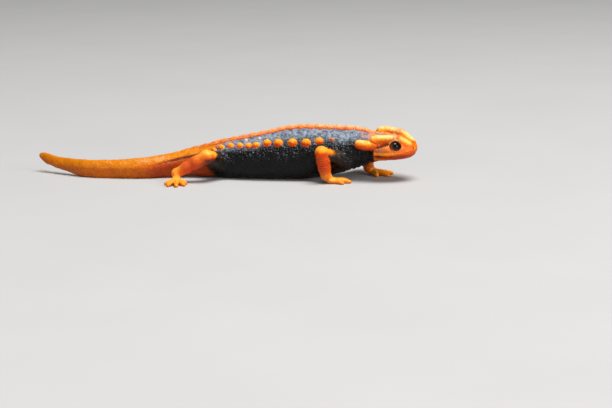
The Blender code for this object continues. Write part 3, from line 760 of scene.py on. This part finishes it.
def divided(points, faces):
    """The same faces, each divided into four."""
    pairs = np.sort(np.stack([faces, np.roll(faces, -1, 1)], -1).reshape(-1, 2), 1)
    keys, edge_of_corner = np.unique(pairs[:, 0] * len(points) + pairs[:, 1], return_inverse=True)
    first, second = keys // len(points), keys % len(points)
    middles = (points[first] + points[second]) / 2
    centres = points[faces].mean(1)
    edge = len(points) + edge_of_corner.reshape(-1, 4)
    centre = (len(points) + len(middles) + np.arange(len(faces)))[:, None]
    quarters = [np.hstack([faces[:, k:k + 1], edge[:, k:k + 1], centre, edge[:, k - 1:k or None]])
                for k in range(4)]
    return np.vstack([points, middles, centres]), np.vstack(quarters)


# ---- meshes

def mesh_from(name, points, faces):
    mesh = bpy.data.meshes.new(name)
    mesh.vertices.add(len(points))
    mesh.vertices.foreach_set("co", points.astype(np.float32).ravel())
    mesh.loops.add(faces.size)
    mesh.loops.foreach_set("vertex_index", faces.astype(np.int32).ravel())
    mesh.polygons.add(len(faces))
    mesh.polygons.foreach_set("loop_start", np.arange(0, faces.size, faces.shape[1], dtype=np.int32))
    mesh.update(calc_edges=True)
    mesh.validate()
    return mesh


def points_and_normals(mesh):
    result = []
    for items, name in ((mesh.vertices, "co"), (mesh.vertex_normals, "vector")):
        values = np.empty(len(items) * 3, np.float32)
        items.foreach_get(name, values)
        result.append(values.reshape(-1, 3).astype(float))
    return result


def set_points(mesh, points):
    mesh.vertices.foreach_set("co", points.astype(np.float32).ravel())
    mesh.update()


def on_surface(mesh, rounds):
    """Moves a mesh's points onto the skin along its normals."""
    for _ in range(rounds):
        points, normals = points_and_normals(mesh)
        distance = np.clip(in_chunks(skin_distance, points), -LONGEST_MOVE, LONGEST_MOVE)
        set_points(mesh, points - distance[:, None] * normals)


# ---- markings, with painted highlights, sheen and shade
# Two stations, heights or distances in a fade are where a colour starts and where it is whole.

def linear(red, green, blue):
    """A colour given in 0-255 display values, as linear light."""
    value = np.array([red, green, blue]) / 255
    return np.where(value <= 0.04045, value / 12.92, ((value + 0.055) / 1.055) ** 2.4)


# Some paints are painted light: grey sheen and glints, highlights on tops, and shade in furrows and under
# forms.
PAINTS = dict(
    black=(6, 6, 7), slate=(136, 147, 160), granule_glint=(150, 158, 166), belly=(52, 40, 34),
    neck_pink=(160, 122, 116), orange=(240, 126, 2), deep_orange=(220, 78, 1), pale_orange=(252, 184, 66),
    peach=(253, 204, 136), deep_red=(168, 44, 2), red_brown=(128, 48, 14), crease=(64, 22, 8),
    spine_band=(212, 110, 18), band_top=(228, 166, 112), wart=(255, 160, 20), speck=(226, 190, 176),
    crown=(190, 130, 88), snout=(232, 122, 8), cheek=(152, 94, 72), lower_lid=(204, 134, 96),
    lip=(240, 152, 26), lip_front=(224, 106, 6), jaw=(182, 60, 1), tail=(206, 120, 12),
    tail_low=(186, 80, 26), arm_black=(30, 22, 17), forearm=(226, 88, 6), elbow=(252, 160, 34),
    hand=(246, 158, 52), thigh=(244, 132, 32), shank=(206, 84, 32), iris=(150, 76, 26))
SHADE_LEFT = np.array([0.8, 0.56, 0.3])  # what painted shade leaves of red, green and blue in the deepest orange
WRINKLES = 9  # dark cross wrinkles of a forearm, for each of its lengths
LID_PATCH = ((EYE_X + 0.1, 15.9), 1.0, 1.9)  # the peach patch over the eye, as CHEEK_SWELL
SEAM_SHADE = (0.14, 0.6)  # how dark the painted shade in the seams between granules is on orange and on black skin


def mixed(base, colour, amount):
    """The base colours with another laid over them by an amount from 0 to 1."""
    amount = np.clip(amount, 0, 1)[:, None]
    return base * (1 - amount) + colour * amount


class Coat:
    """The colours of some points, as paints are laid over one another."""

    def __init__(self, paint, count):
        self.colours = np.tile(linear(*PAINTS[paint]), (count, 1))

    def lay(self, paint, amount):
        self.colours = mixed(self.colours, linear(*PAINTS[paint]), amount)


def paint_trunk(lay, place, blur):
    """Mottled painted grey sheen on the upward-facing back, a brown belly and a pinkish neck top, on black.
    """
    x = place.x
    speckles = 0.35 * lumps(place.points, 1.2) + 0.5 * lumps(place.points, 0.7)
    # the grey on the upward-facing back and shoulder is painted sheen of wet skin
    slate = fade(place.up + 0.2 * blur + 0.12 * fade(x, 9, 15), 0.42, 0.92)
    neck_top = fade(x + 2 * blur, 20.5, 24.5) * fade(place.up, 0.45, 0.9)
    lay("slate", slate * (0.8 + speckles))
    lay("belly", 0.8 * fade(place.down + 0.1 * blur, 0.6, 0.98))
    lay("neck_pink", 0.7 * neck_top * (1 + blur))


def paint_tail(lay, place, blur):
    """Orange tail; painted shade in its furrow and below it near the base, while the orange over it reaches
    further forward.
    """
    x = place.x
    over_furrow = place.up - curve(TAIL_FURROW, x)
    tail = fade(x + 3 * blur - 3.0 * fade(place.down, 0.2, 0.8), -32.0, -36.0)
    tail = np.maximum(tail, fade(x + blur, -26, -33) * fade(over_furrow, -0.05, 0.1))
    # painted shade: deeper orange left below the furrow near the tail's base, and a dark line in the furrow
    lay("tail_low", tail)
    lay("tail", tail * np.maximum(fade(over_furrow, 0.0, 0.2), fade(x, -50, -62)))
    lay("crease", 0.8 * tail_furrow(place))


def paint_spine_ridge(lay, place, blur):
    """An orange ridge along the back, painted shade in red at its foot, a painted highlight along its top,
    most on the knobs.
    """
    x = place.x
    ridge = spine_ridge_distance(place)
    along = fade(x, 27.5, 23) * fade(x, -40, -28)
    on_ridge = fade(ridge, 0.3, 0.0) * along
    over = (place.height - place.rise) / curve(SPINE_RIDGE_RADIUS, x)
    knobs = 0.5 + 0.5 * np.cos(2 * math.pi * x / KNOB_SPACING)
    # painted highlight along the ridge's top, most on the front knobs; the red-brown and deep orange at its
    # foot are painted shade
    pale = (0.7 + 0.3 * knobs * fade(x, -5, 12) + 0.3 * blur) * (0.25 + 0.75 * fade(x, -28, -4))
    lay("red_brown", fade(ridge + 0.5 * blur, 0.95, 0.3) * along)
    lay("deep_orange", 0.9 * fade(ridge + 0.3 * blur, 0.5, 0.05) * along)
    lay("spine_band", fade(over + 0.3 * blur, -0.3, 0.2) * on_ridge)
    lay("band_top", pale * fade(over + 0.4 * blur, 0.15, 0.6) * on_ridge)


def head_share(place, blur):
    """1 on the head and 0 behind its border, which lies further back on the crown."""
    border = 28.1 - 2.0 * fade(place.z, 13.0, 15.0) + 1.2 * blur
    soft = 0.35 + 1.4 * fade(place.up, 0.7, 0.9)
    return fade(place.x + soft * blur, border - soft, border + soft)


def paint_face(lay, place, blur):
    """Orange snout with deeper blotches, painted highlight on top and shade in its hollow; pinkish crown,
    dusky cheek.
    """
    x, side, z = place.folded.T
    head = head_share(place, blur)
    blotches = fade(lumps(place.points, 1.3), 0.05, 0.5) * fade(x, 32, 35)
    lay("snout", head)
    # painted highlight along the top of the snout
    lay("pale_orange", 0.7 * head * fade(z + 0.4 * blur, 13.6, 15.2) * fade(x, 33, 37))
    lay("crown", head * fade(z + 0.6 * blur, 14.0, 15.5) * fade(x, 37, 33))
    # painted shade in the hollow between eye and nostril
    lay("deep_orange", 0.5 * head * spot(x, z, (38.0, 13.0), 1.5, 0.9))
    lay("deep_orange", 0.55 * head * blotches)
    lay("cheek", head * spot(x, z, (30.6, 12.4), 2.2, 1.3) * fade(side, 4, 6))


def paint_mouth(lay, place, blur):
    """Bright lips, a deeper jaw partly of painted shade, a black throat, and painted shade in the mouth's
    line and corner.
    """
    x, side, z = place.folded.T
    head = head_share(place, blur)
    over = z - curve(MOUTH_HEIGHT, x)
    lip = fade(over, -0.1, 0.3) * fade(over + 0.2 * blur, 1.7, 1.1)
    lay("lip_front", head * fade(over, 2.4, 0.8) * fade(x, 32, 37))
    lay("lip", head * lip * fade(x, 38, 32))
    # the deeper jaw under the lip is partly painted shade
    lay("jaw", head * fade(over, 0.0, -0.3))
    lay("lip", head * 0.7 * fade(over, -0.9, -1.3) * fade(x, 36, 31))
    # painted shade in the mouth's corner under the lip, and along the mouth's line
    lay("crease", head * 0.85 * spot(x, over, (29.8, -0.35), 2.0, 0.5))
    lay("black", head * fade(x, 30.5, 26.5) * fade(over, -1.8, -2.8))
    lay("crease", head * 0.8 * bell(over, 0.22) * fade(side, 0, 1.5) * fade(x, 41, 34))


def paint_head_ridge(lay, place, blur):
    """An orange ridge over the eye, painted shade in deep orange round its foot and a painted highlight
    along its top.
    """
    ridge, _ = form_distance(place, RIDGE_FORM)
    over = place.z - curve([ball[::2] for ball in HEAD_RIDGE], place.x)
    # painted shade round the ridge's foot, painted highlight along its top
    lay("deep_orange", 0.9 * fade(ridge + 0.2 * blur, 0.9, 0.3))
    lay("orange", fade(ridge + 0.2 * blur, 0.5, 0.0))
    lay("pale_orange", 0.8 * fade(ridge, 0.3, 0.0) * fade(over + 0.4 * blur, -0.2, 0.6))
    lay("peach", 0.75 * fade(ridge, 0.3, 0.0) * fade(over + 0.8 * blur, 0.6, 1.2))


def paint_brow(lay, place, blur):
    """A peach patch over the eye, and behind it painted red shade under the ridge and a painted dark shade
    in its furrow.
    """
    x, side, z = place.folded.T
    head = head_share(place, blur)
    patch = spot(x, z, *LID_PATCH) * fade(side, 2.5, 4)
    line = curve(BROW_FURROW, x)
    under_ridge = fade(z + 0.3 * blur, line + 1.9, line + 0.4) * fade(z, line - 0.4, line + 0.1)
    furrow = bell(z - line, BROW_WIDTH) * fade(x, 25.5, 27.5) * fade(x, 34.0, 32.8)
    lay("crown", 0.8 * head * patch)
    lay("peach", 0.8 * head * patch * fade(lumps(place.points, 0.7), -0.2, 0.4))
    # painted shade: red under the ridge behind the eye, dark in the furrow
    lay("deep_red", 0.75 * head * under_ridge * fade(x, 34, 32) * fade(side, 4, 5.5))
    lay("crease", 0.85 * furrow * fade(side, 4, 5.5))


def paint_openings(lay, place, blur):
    """Painted shade in the nostrils and at the lids' edges, and a painted highlight on the lower lid's rim.
    """
    # painted shade in the nostrils and at the lids' edges, painted highlight on the lower lid's rim
    lay("crease", fade(length_of(place.folded - NOSTRIL), 0.42, 0.26))
    for sign in EYE_NODES.values():
        centre, *axes = eye_frame(sign)
        u, v, w = ((place.points - centre) @ axis for axis in axes)
        rim = lid_rim(u, v, *LID_OPENING)
        facing = fade(w, -0.5, 0.5)
        lay("lower_lid", 0.7 * fade(v, 0.3, -0.9) * bell(rim - 1.3, 0.16) * facing)
        lay("crease", 0.85 * fade(rim + 0.06 * blur, 1.16, 1.0) * facing)


def paint_glands(lay, place, blur):
    """An orange gland behind the head, painted shade in red round its foot and deep orange low down, painted
    highlight on top.
    """
    z = place.z
    gland, _ = form_distance(place, GLAND_FORM)
    # painted shade round the gland's foot and low down, painted highlight on its top
    lay("deep_red", fade(gland + 0.3 * blur, 0.6, 0.2))
    lay("deep_orange", fade(gland, 0.45, 0.1) * fade(z + 0.3 * blur, 12.3, 13.0))
    lay("orange", fade(gland, 0.4, 0.0) * fade(z + 0.4 * blur, 12.9, 14.1))
    lay("pale_orange", 0.8 * fade(gland, 0.3, 0.0) * fade(z + 0.4 * blur, 14.2, 15.2))
    rear_top = fade(z + 0.6 * blur, 14.9, 15.6) * fade(place.x, 25.5, 23)
    lay("peach", 0.7 * fade(gland, 0.2, 0.0) * rear_top)


def paint_warts(lay, place, blur):
    """Rib warts, the front one faint, orange with painted shade at the lower rim; small warts over them
    painted pale as highlights.
    """
    warts, over = wart_distance(place.folded, RIB_WART_ROWS)
    pale, _ = wart_distance(place.folded, PALE_WART_ROWS)
    shown = 1 - 0.65 * fade(place.x, 10, 11.5)
    # painted shade in deep orange on each wart's lower rim; the small warts' pale colour is a painted
    # highlight
    lay("deep_orange", shown * fade(warts + 0.25 * blur, 0.34, 0.1))
    lay("wart", shown * fade(warts, 0.25, 0.0) * fade(over + blur, -0.6, 0.3))
    lay("speck", fade(pale, 0.25, 0.0))


BODY_PAINTING = (paint_trunk, paint_tail, paint_spine_ridge, paint_face, paint_mouth, paint_head_ridge,
                 paint_brow, paint_openings, paint_glands, paint_warts)


def paint_leg(lay, along, over, blur):
    """Orange over the thigh and redder down the shank; red-brown root and underside, partly painted shade;
    painted highlight on the knee.
    """
    lit = over + 2.4 * (along - 0.9) - 3.5 * fade(along, 0.85, 0.45) + 0.6 * blur
    # the red-brown at the thigh's root is its own colour, under the thigh painted shade; the pale knee is a
    # painted highlight
    lay("red_brown", fade(lit, -1.2, -0.2))
    lay("thigh", fade(lit, -0.7, 0.4))
    lay("shank", bell(along - 1.5, 0.4))
    lay("pale_orange", 0.7 * bell(along - 0.95, 0.25) * fade(over, 0.3, 1.6))


def paint_arm(lay, along, over, blur):
    """A red-orange forearm with dark cross wrinkles, under a painted highlight on the elbow's top."""
    lit = along + 0.1 * over + 0.1 * blur
    wrinkle = np.abs((along * WRINKLES) % 1 - 0.5) * 2
    lay("red_brown", fade(lit, 0.72, 0.86))
    lay("forearm", fade(lit, 0.8, 0.95))
    # painted highlight on the elbow's top
    lay("elbow", bell(along - 1.0, 0.3) * fade(over, -0.2, 1.2))
    lay("red_brown", 0.6 * bell(wrinkle, 0.35) * bell(along - 1.5, 0.4) * (1 + blur))


def limb_colours(points, along, name):
    """Colour of a limb: black at its root and, partly as painted shade, under its bend, orange from the
    elbow or knee.
    """
    blur = lumps(points, 1.5) * 0.5 + lumps(points, 0.6) * 0.25
    over = points[:, 2] - np.interp(along, (0, 1, 2), LIMB_FORMS[name].heights)
    coat = Coat("arm_black", len(points))
    (paint_leg if name.endswith("leg") else paint_arm)(coat.lay, along, over, blur)
    coat.lay("hand", fade(along + 0.1 * blur, 1.7, 2.05))
    coat.lay("orange", 0.5 * fade(along, 2.3, 2.9))
    if name == "left_arm":
        # The far forearm is painted deeper for light through its skin, and the far hand paler for the shadow
        # over it
        coat.lay("deep_orange", 0.8 * fade(along, 0.9, 1.1))
        coat.lay("elbow", fade(along, 1.95, 2.1))
    return coat.colours


def skin_colours(points):
    """Colour of the skin at each point, as linear light."""
    place = Place(points)
    coat = Coat("black", len(points))
    blur = lumps(points, 1.6) * 0.35 + lumps(points, 0.6) * 0.15
    for paint in BODY_PAINTING:
        paint(coat.lay, place, blur)
    body = body_distance(place)
    for name, limb in LIMB_FORMS.items():
        near = limb.near(points)
        distance, along = limb.distance(points[near])
        own = fade(body[near] - distance, -0.4, 0.6)
        coat.colours[near] = mixed(coat.colours[near], limb_colours(points[near], along, name), own)
    return coat.colours


def with_painted_shade(colours, facing_up):
    """Painted shade: orange made deeper and redder where the skin faces sideways or down."""
    amount = (fade(colours[:, 0], 0.15, 0.5) * fade(facing_up, 0.8, -0.3))[:, None]
    return colours * (1 - amount * (1 - SHADE_LEFT))


def with_granules(colours, points, grain, facing_up):
    """Painted shade in the seams between granules, and painted grey glints on some upward-facing granules of
    dark skin.
    """
    dark = fade(colours[:, 0], 0.12, 0.03)
    # painted glints: grey on the tops of some upward-facing granules of the dark skin
    tips = fade(grain, 0.55, 0.9) * fade(lumps(points, 0.8), 0.1, 0.6)
    tip = linear(*PAINTS["granule_glint"])
    colours = mixed(colours, tip, 0.6 * dark * tips * fade(facing_up, -0.1, 0.6))
    on_orange, on_black = SEAM_SHADE
    # painted shade in the seams between granules, deeper on dark skin
    seam_shade = on_orange + (on_black - on_orange) * fade(colours[:, 0], 0.35, 0.05)
    return colours * (1.1 - seam_shade * (1 - grain))[:, None]


def granule_height(points):
    """How tall the granules are: tall on the back and flanks, low on the head, tail, belly and feet."""
    place = Place(points)
    tall = 1 - 0.55 * fade(place.x, 25, 28) - 0.3 * fade(place.down, 0.5, 0.95)
    tall -= 0.55 * fade(place.x, -30, -40)
    tall *= 1 + 0.35 * lumps(points, 1.7)
    return GRANULE_HEIGHT * tall * (1 - 0.5 * fade(body_distance(place), 0.8, 2.0))


def head_grain_height(points):
    """The rise of the larger grains on the crown and the upper lids."""
    place = Place(points)
    crown = fade(place.x, 26, 28) * fade(place.x, 40, 36) * fade(place.up, 0.35, 0.8)
    return HEAD_GRAIN_HEIGHT * crown * granules(points, HEAD_GRAIN_SPACING)


# ---- materials

class Look:
    """A material in the making: its nodes, its shader, and the places that its textures read."""

    def __init__(self, name, **inputs):
        self.material = bpy.data.materials.new(name)
        self.material.use_nodes = True
        self.tree = self.material.node_tree
        self.shader = self.tree.nodes["Principled BSDF"]
        self.set(self.shader, inputs)
        self.where = self.add("ShaderNodeTexCoord").outputs["Object"]

    def set(self, node, settings):
        """Sets a node's properties, and its inputs where the name starts with a capital."""
        for name, value in settings.items():
            if name[0].isupper():
                node.inputs[name.replace("_", " ")].default_value = value
            else:
                setattr(node, name, value)

    def add(self, kind, links=(), **settings):
        """A node with its settings, and its inputs joined to other nodes' outputs."""
        node = self.tree.nodes.new(kind)
        self.set(node, settings)
        for socket, output in links:
            self.tree.links.new(output, node.inputs[socket])
        return node

    def feed(self, socket, output):
        self.tree.links.new(output, self.shader.inputs[socket])

    def noise(self, per_mm, detail=2.0, low=None, high=None):
        """Noise of so many lumps to a millimetre, and spread from low to high where they are given."""
        links = [("Vector", self.where)]
        value = self.add("ShaderNodeTexNoise", links, Scale=per_mm / MM, Detail=detail).outputs[0]
        if low is None:
            return value
        limits = dict(From_Min=0.3, From_Max=0.7, To_Min=low, To_Max=high)
        return self.add("ShaderNodeMapRange", [("Value", value)], **limits).outputs[0]

    def math(self, operation, a, b):
        return self.add("ShaderNodeMath", [(0, a), (1, b)], operation=operation).outputs[0]

    def scaled(self, colour, amount):
        links = [(0, colour), ("Scale", amount)]
        return self.add("ShaderNodeVectorMath", links, operation="SCALE").outputs[0]


def skin_material():
    """Moist granular skin, in its pattern's colours with their painted highlights, sheen and shade."""
    look = Look("granular_skin", Specular_IOR_Level=0.06, Coat_Weight=0.26, Coat_Roughness=0.15,
                Subsurface_Weight=0.12, Subsurface_Radius=(1.0, 0.35, 0.12), Subsurface_Scale=0.7 * MM)
    colour = look.add("ShaderNodeAttribute", attribute_name="colour_and_shading").outputs["Color"]
    mottle = look.noise(0.7, 4.0, 0.84, 1.1)
    grain = look.noise(4.5, 2.0, 0.9, 1.08)
    look.feed("Base Color", look.scaled(colour, look.math("MULTIPLY", mottle, grain)))
    look.feed("Roughness", look.noise(1.8, 2.0, 0.34, 0.5))
    height = look.math("ADD", look.noise(6.0, 3.0), look.noise(2.6))
    bump = look.add("ShaderNodeBump", [("Height", height)], Strength=0.5, Distance=0.06 * MM)
    look.feed("Normal", bump.outputs[0])
    return look.material


def eye_material():
    """A wet black eye with a thin dark brown iris."""
    look = Look("wet_eye", Specular_IOR_Level=0.05, Coat_Weight=0.34, Coat_Roughness=0.03)
    iris = look.add("ShaderNodeAttribute", attribute_name="iris").outputs["Fac"]
    amount = look.math("MULTIPLY", iris, look.noise(3.5, 3.0, 0.4, 1.3))
    ramp = look.add("ShaderNodeValToRGB", [("Fac", amount)])
    black, brown = ramp.color_ramp.elements
    black.color = (0.002, 0.002, 0.002, 1)
    brown.color = (*linear(*PAINTS["iris"]), 1)
    look.feed("Base Color", ramp.outputs[0])
    look.feed("Roughness", look.noise(2.0, 2.0, 0.1, 0.16))
    return look.material


def floor_material():
    """Pale matt board with a faint tooth."""
    look = Look("pale_floor", Roughness=0.9, Specular_IOR_Level=0.2)
    tooth = look.noise(0.02, 3.0, 0.97, 1.0)
    pale = look.add("ShaderNodeVectorMath", [("Scale", tooth)], operation="SCALE")
    pale.inputs[0].default_value = FLOOR_COLOUR
    look.feed("Base Color", pale.outputs[0])
    return look.material


# ---- pieces

EYE_RINGS, EYE_SEGMENTS = 48, 96
PUPIL_ANGLE, IRIS_ANGLE, CORNEA_ANGLE = math.radians(35), math.radians(72), math.radians(50)
CORNEA_RISE = 0.02  # of the eye's radius


def frame_shift():
    """From the field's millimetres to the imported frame: one eye is matched, and the floor."""
    low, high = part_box("eye_right")
    eye = on_body(np.float64(EYE_X), -EYE_SIDE, EYE_HEIGHT)
    middle = np.array((low + high) / 2) / MM
    return np.array([middle[0] - eye[0], middle[1] - eye[1], CAD_BOX[0].z / MM])


def add_object(data):
    obj = bpy.data.objects.new(data.name, data)
    bpy.context.scene.collection.objects.link(obj)
    return obj


def add_mesh(mesh, material):
    mesh.materials.append(material)
    mesh.shade_smooth()
    return add_object(mesh)


def make_skin(shift):
    """The one skin, netted from the field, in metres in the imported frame."""
    mesh = mesh_from("skin", *divided(*net_of(*sampled_field())))
    on_surface(mesh, 2)
    points, normals = points_and_normals(mesh)
    grain = granules(points, GRANULE_SPACING)
    facing_up = normals[:, 2]
    colours = with_painted_shade(in_chunks(skin_colours, points), facing_up)
    colours = with_granules(colours, points, grain, facing_up)
    colours = np.hstack([colours, np.ones((len(points), 1))]).astype(np.float32)
    lift = in_chunks(granule_height, points) * (grain - GRANULE_MIDDLE)
    lift += in_chunks(head_grain_height, points)
    points += lift[:, None] * normals
    points[:, 2] = np.maximum(points[:, 2], FLOOR_CLEARANCE)
    set_points(mesh, (points + shift) * MM)
    mesh.attributes.new("colour_and_shading", "FLOAT_COLOR", "POINT").data.foreach_set("color", colours.ravel())
    skin = add_mesh(mesh, skin_material())
    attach(skin, "root")
    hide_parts(*[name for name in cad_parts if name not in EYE_NODES])


def eye_points(sign):
    """Points of an eyeball in rings, with a slightly raised cornea, and how much iris each shows."""
    centre, *axes = eye_frame(sign)
    ring, segment = np.divmod(np.arange((EYE_RINGS - 1) * EYE_SEGMENTS), EYE_SEGMENTS)
    angle = np.append((ring + 1) * math.pi / EYE_RINGS, (0, math.pi))
    turn = np.append(segment * 2 * math.pi / EYE_SEGMENTS, (0, 0))
    away = np.stack([np.sin(angle) * np.cos(turn), np.sin(angle) * np.sin(turn), np.cos(angle)], 1) @ axes
    radius = EYE_RADIUS * (1 + CORNEA_RISE * fade(angle, CORNEA_ANGLE, 0))
    iris = fade(angle, PUPIL_ANGLE - 0.04, PUPIL_ANGLE + 0.04)
    iris *= fade(angle, IRIS_ANGLE + 0.2, IRIS_ANGLE - 0.1)
    # the iris shows its brown only on the lower rear side, where light falling into the eye is painted
    lit = np.maximum(0.2 - 0.55 * np.cos(turn) - 0.55 * np.sin(turn), 0.03)
    return centre + radius[:, None] * away, lit * iris


def eye_faces():
    """Faces between the rings of an eyeball, and round its two ends."""
    count = (EYE_RINGS - 1) * EYE_SEGMENTS
    last = count - EYE_SEGMENTS
    faces = []
    for k in range(EYE_SEGMENTS):
        j = (k + 1) % EYE_SEGMENTS
        faces += [(count, k, j), (count + 1, last + j, last + k)]
        for a in range(0, last, EYE_SEGMENTS):
            b = a + EYE_SEGMENTS
            faces.append((a + k, b + k, b + j, a + j))
    return faces


def make_eye(node, sign, shift, material):
    """One eyeball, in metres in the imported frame."""
    points, iris = eye_points(sign)
    mesh = bpy.data.meshes.new(node + "_ball")
    mesh.from_pydata(((points + shift) * MM).tolist(), [], eye_faces())
    mesh.attributes.new("iris", "FLOAT", "POINT").data.foreach_set("value", iris)
    eye = add_mesh(mesh, material)
    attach(eye, "root")
    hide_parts(node)


# ---- studio

FLOOR_COLOUR = (0.475, 0.47, 0.46)
FLOOR_HALF = 3.0
LAMPS = {  # place in metres, size in metres, watts
    "overhead": ((0.3, -0.3, 1.35), (0.9, 0.65), 28.0),
    "side": ((1.4, -0.95, 0.5), (0.75, 0.75), 15.0),
    "fill": ((-0.9, -1.8, 0.6), (1.2, 1.2), 6.0),
}
LAMPS_AIM = (0, 0, 0.01)
ROOM_COLOUR, ROOM_STRENGTH = (0.93, 0.94, 0.96, 1), 0.17
CAMERA_TURN, CAMERA_RISE = math.radians(4), math.radians(12)
CAMERA_PLACE = (2.16, -9.54, 612.0)  # right, up and back from the field's origin, in the view's directions
CAMERA_LENS = 100.0
CAMERA_SENSOR = 36.0


def make_floor():
    mesh = bpy.data.meshes.new("floor")
    corners = [(i * FLOOR_HALF, j * FLOOR_HALF, 0) for i, j in ((-1, -1), (1, -1), (1, 1), (-1, 1))]
    mesh.from_pydata(corners, [], [(0, 1, 2, 3)])
    add_mesh(mesh, floor_material())


def make_light():
    """A softbox overhead, a weaker one from the side, a weak fill from the front, and a pale room."""
    for name, (place, size, power) in LAMPS.items():
        light = bpy.data.lights.new(name, "AREA")
        light.shape = "RECTANGLE"
        light.size, light.size_y = size
        light.energy = power
        lamp = add_object(light)
        lamp.location = place
        lamp.rotation_euler = (Vector(LAMPS_AIM) - lamp.location).to_track_quat("-Z", "Y").to_euler()
    world = bpy.data.worlds.new("room")
    world.use_nodes = True
    background = world.node_tree.nodes["Background"]
    background.inputs["Color"].default_value = ROOM_COLOUR
    background.inputs["Strength"].default_value = ROOM_STRENGTH
    bpy.context.scene.world = world


def make_camera(shift):
    """The camera at the animal's right, a little from behind and above."""
    lens = bpy.data.cameras.new("camera")
    lens.lens = CAMERA_LENS
    lens.sensor_width = CAMERA_SENSOR
    lens.clip_start = 0.01
    camera = add_object(lens)
    camera.rotation_euler = (math.pi / 2 - CAMERA_RISE, 0, CAMERA_TURN)
    axes = camera.rotation_euler.to_matrix()
    camera.location = (axes @ Vector(CAMERA_PLACE) + Vector(shift)) * MM
    bpy.context.scene.camera = camera


SHIFT = frame_shift()
EYE_MATERIAL = eye_material()
make_skin(SHIFT)
for eye_node, eye_sign in EYE_NODES.items():
    make_eye(eye_node, eye_sign, SHIFT, EYE_MATERIAL)
make_floor()
make_light()
make_camera(SHIFT)
bpy.context.scene.view_settings.view_transform = "Standard"
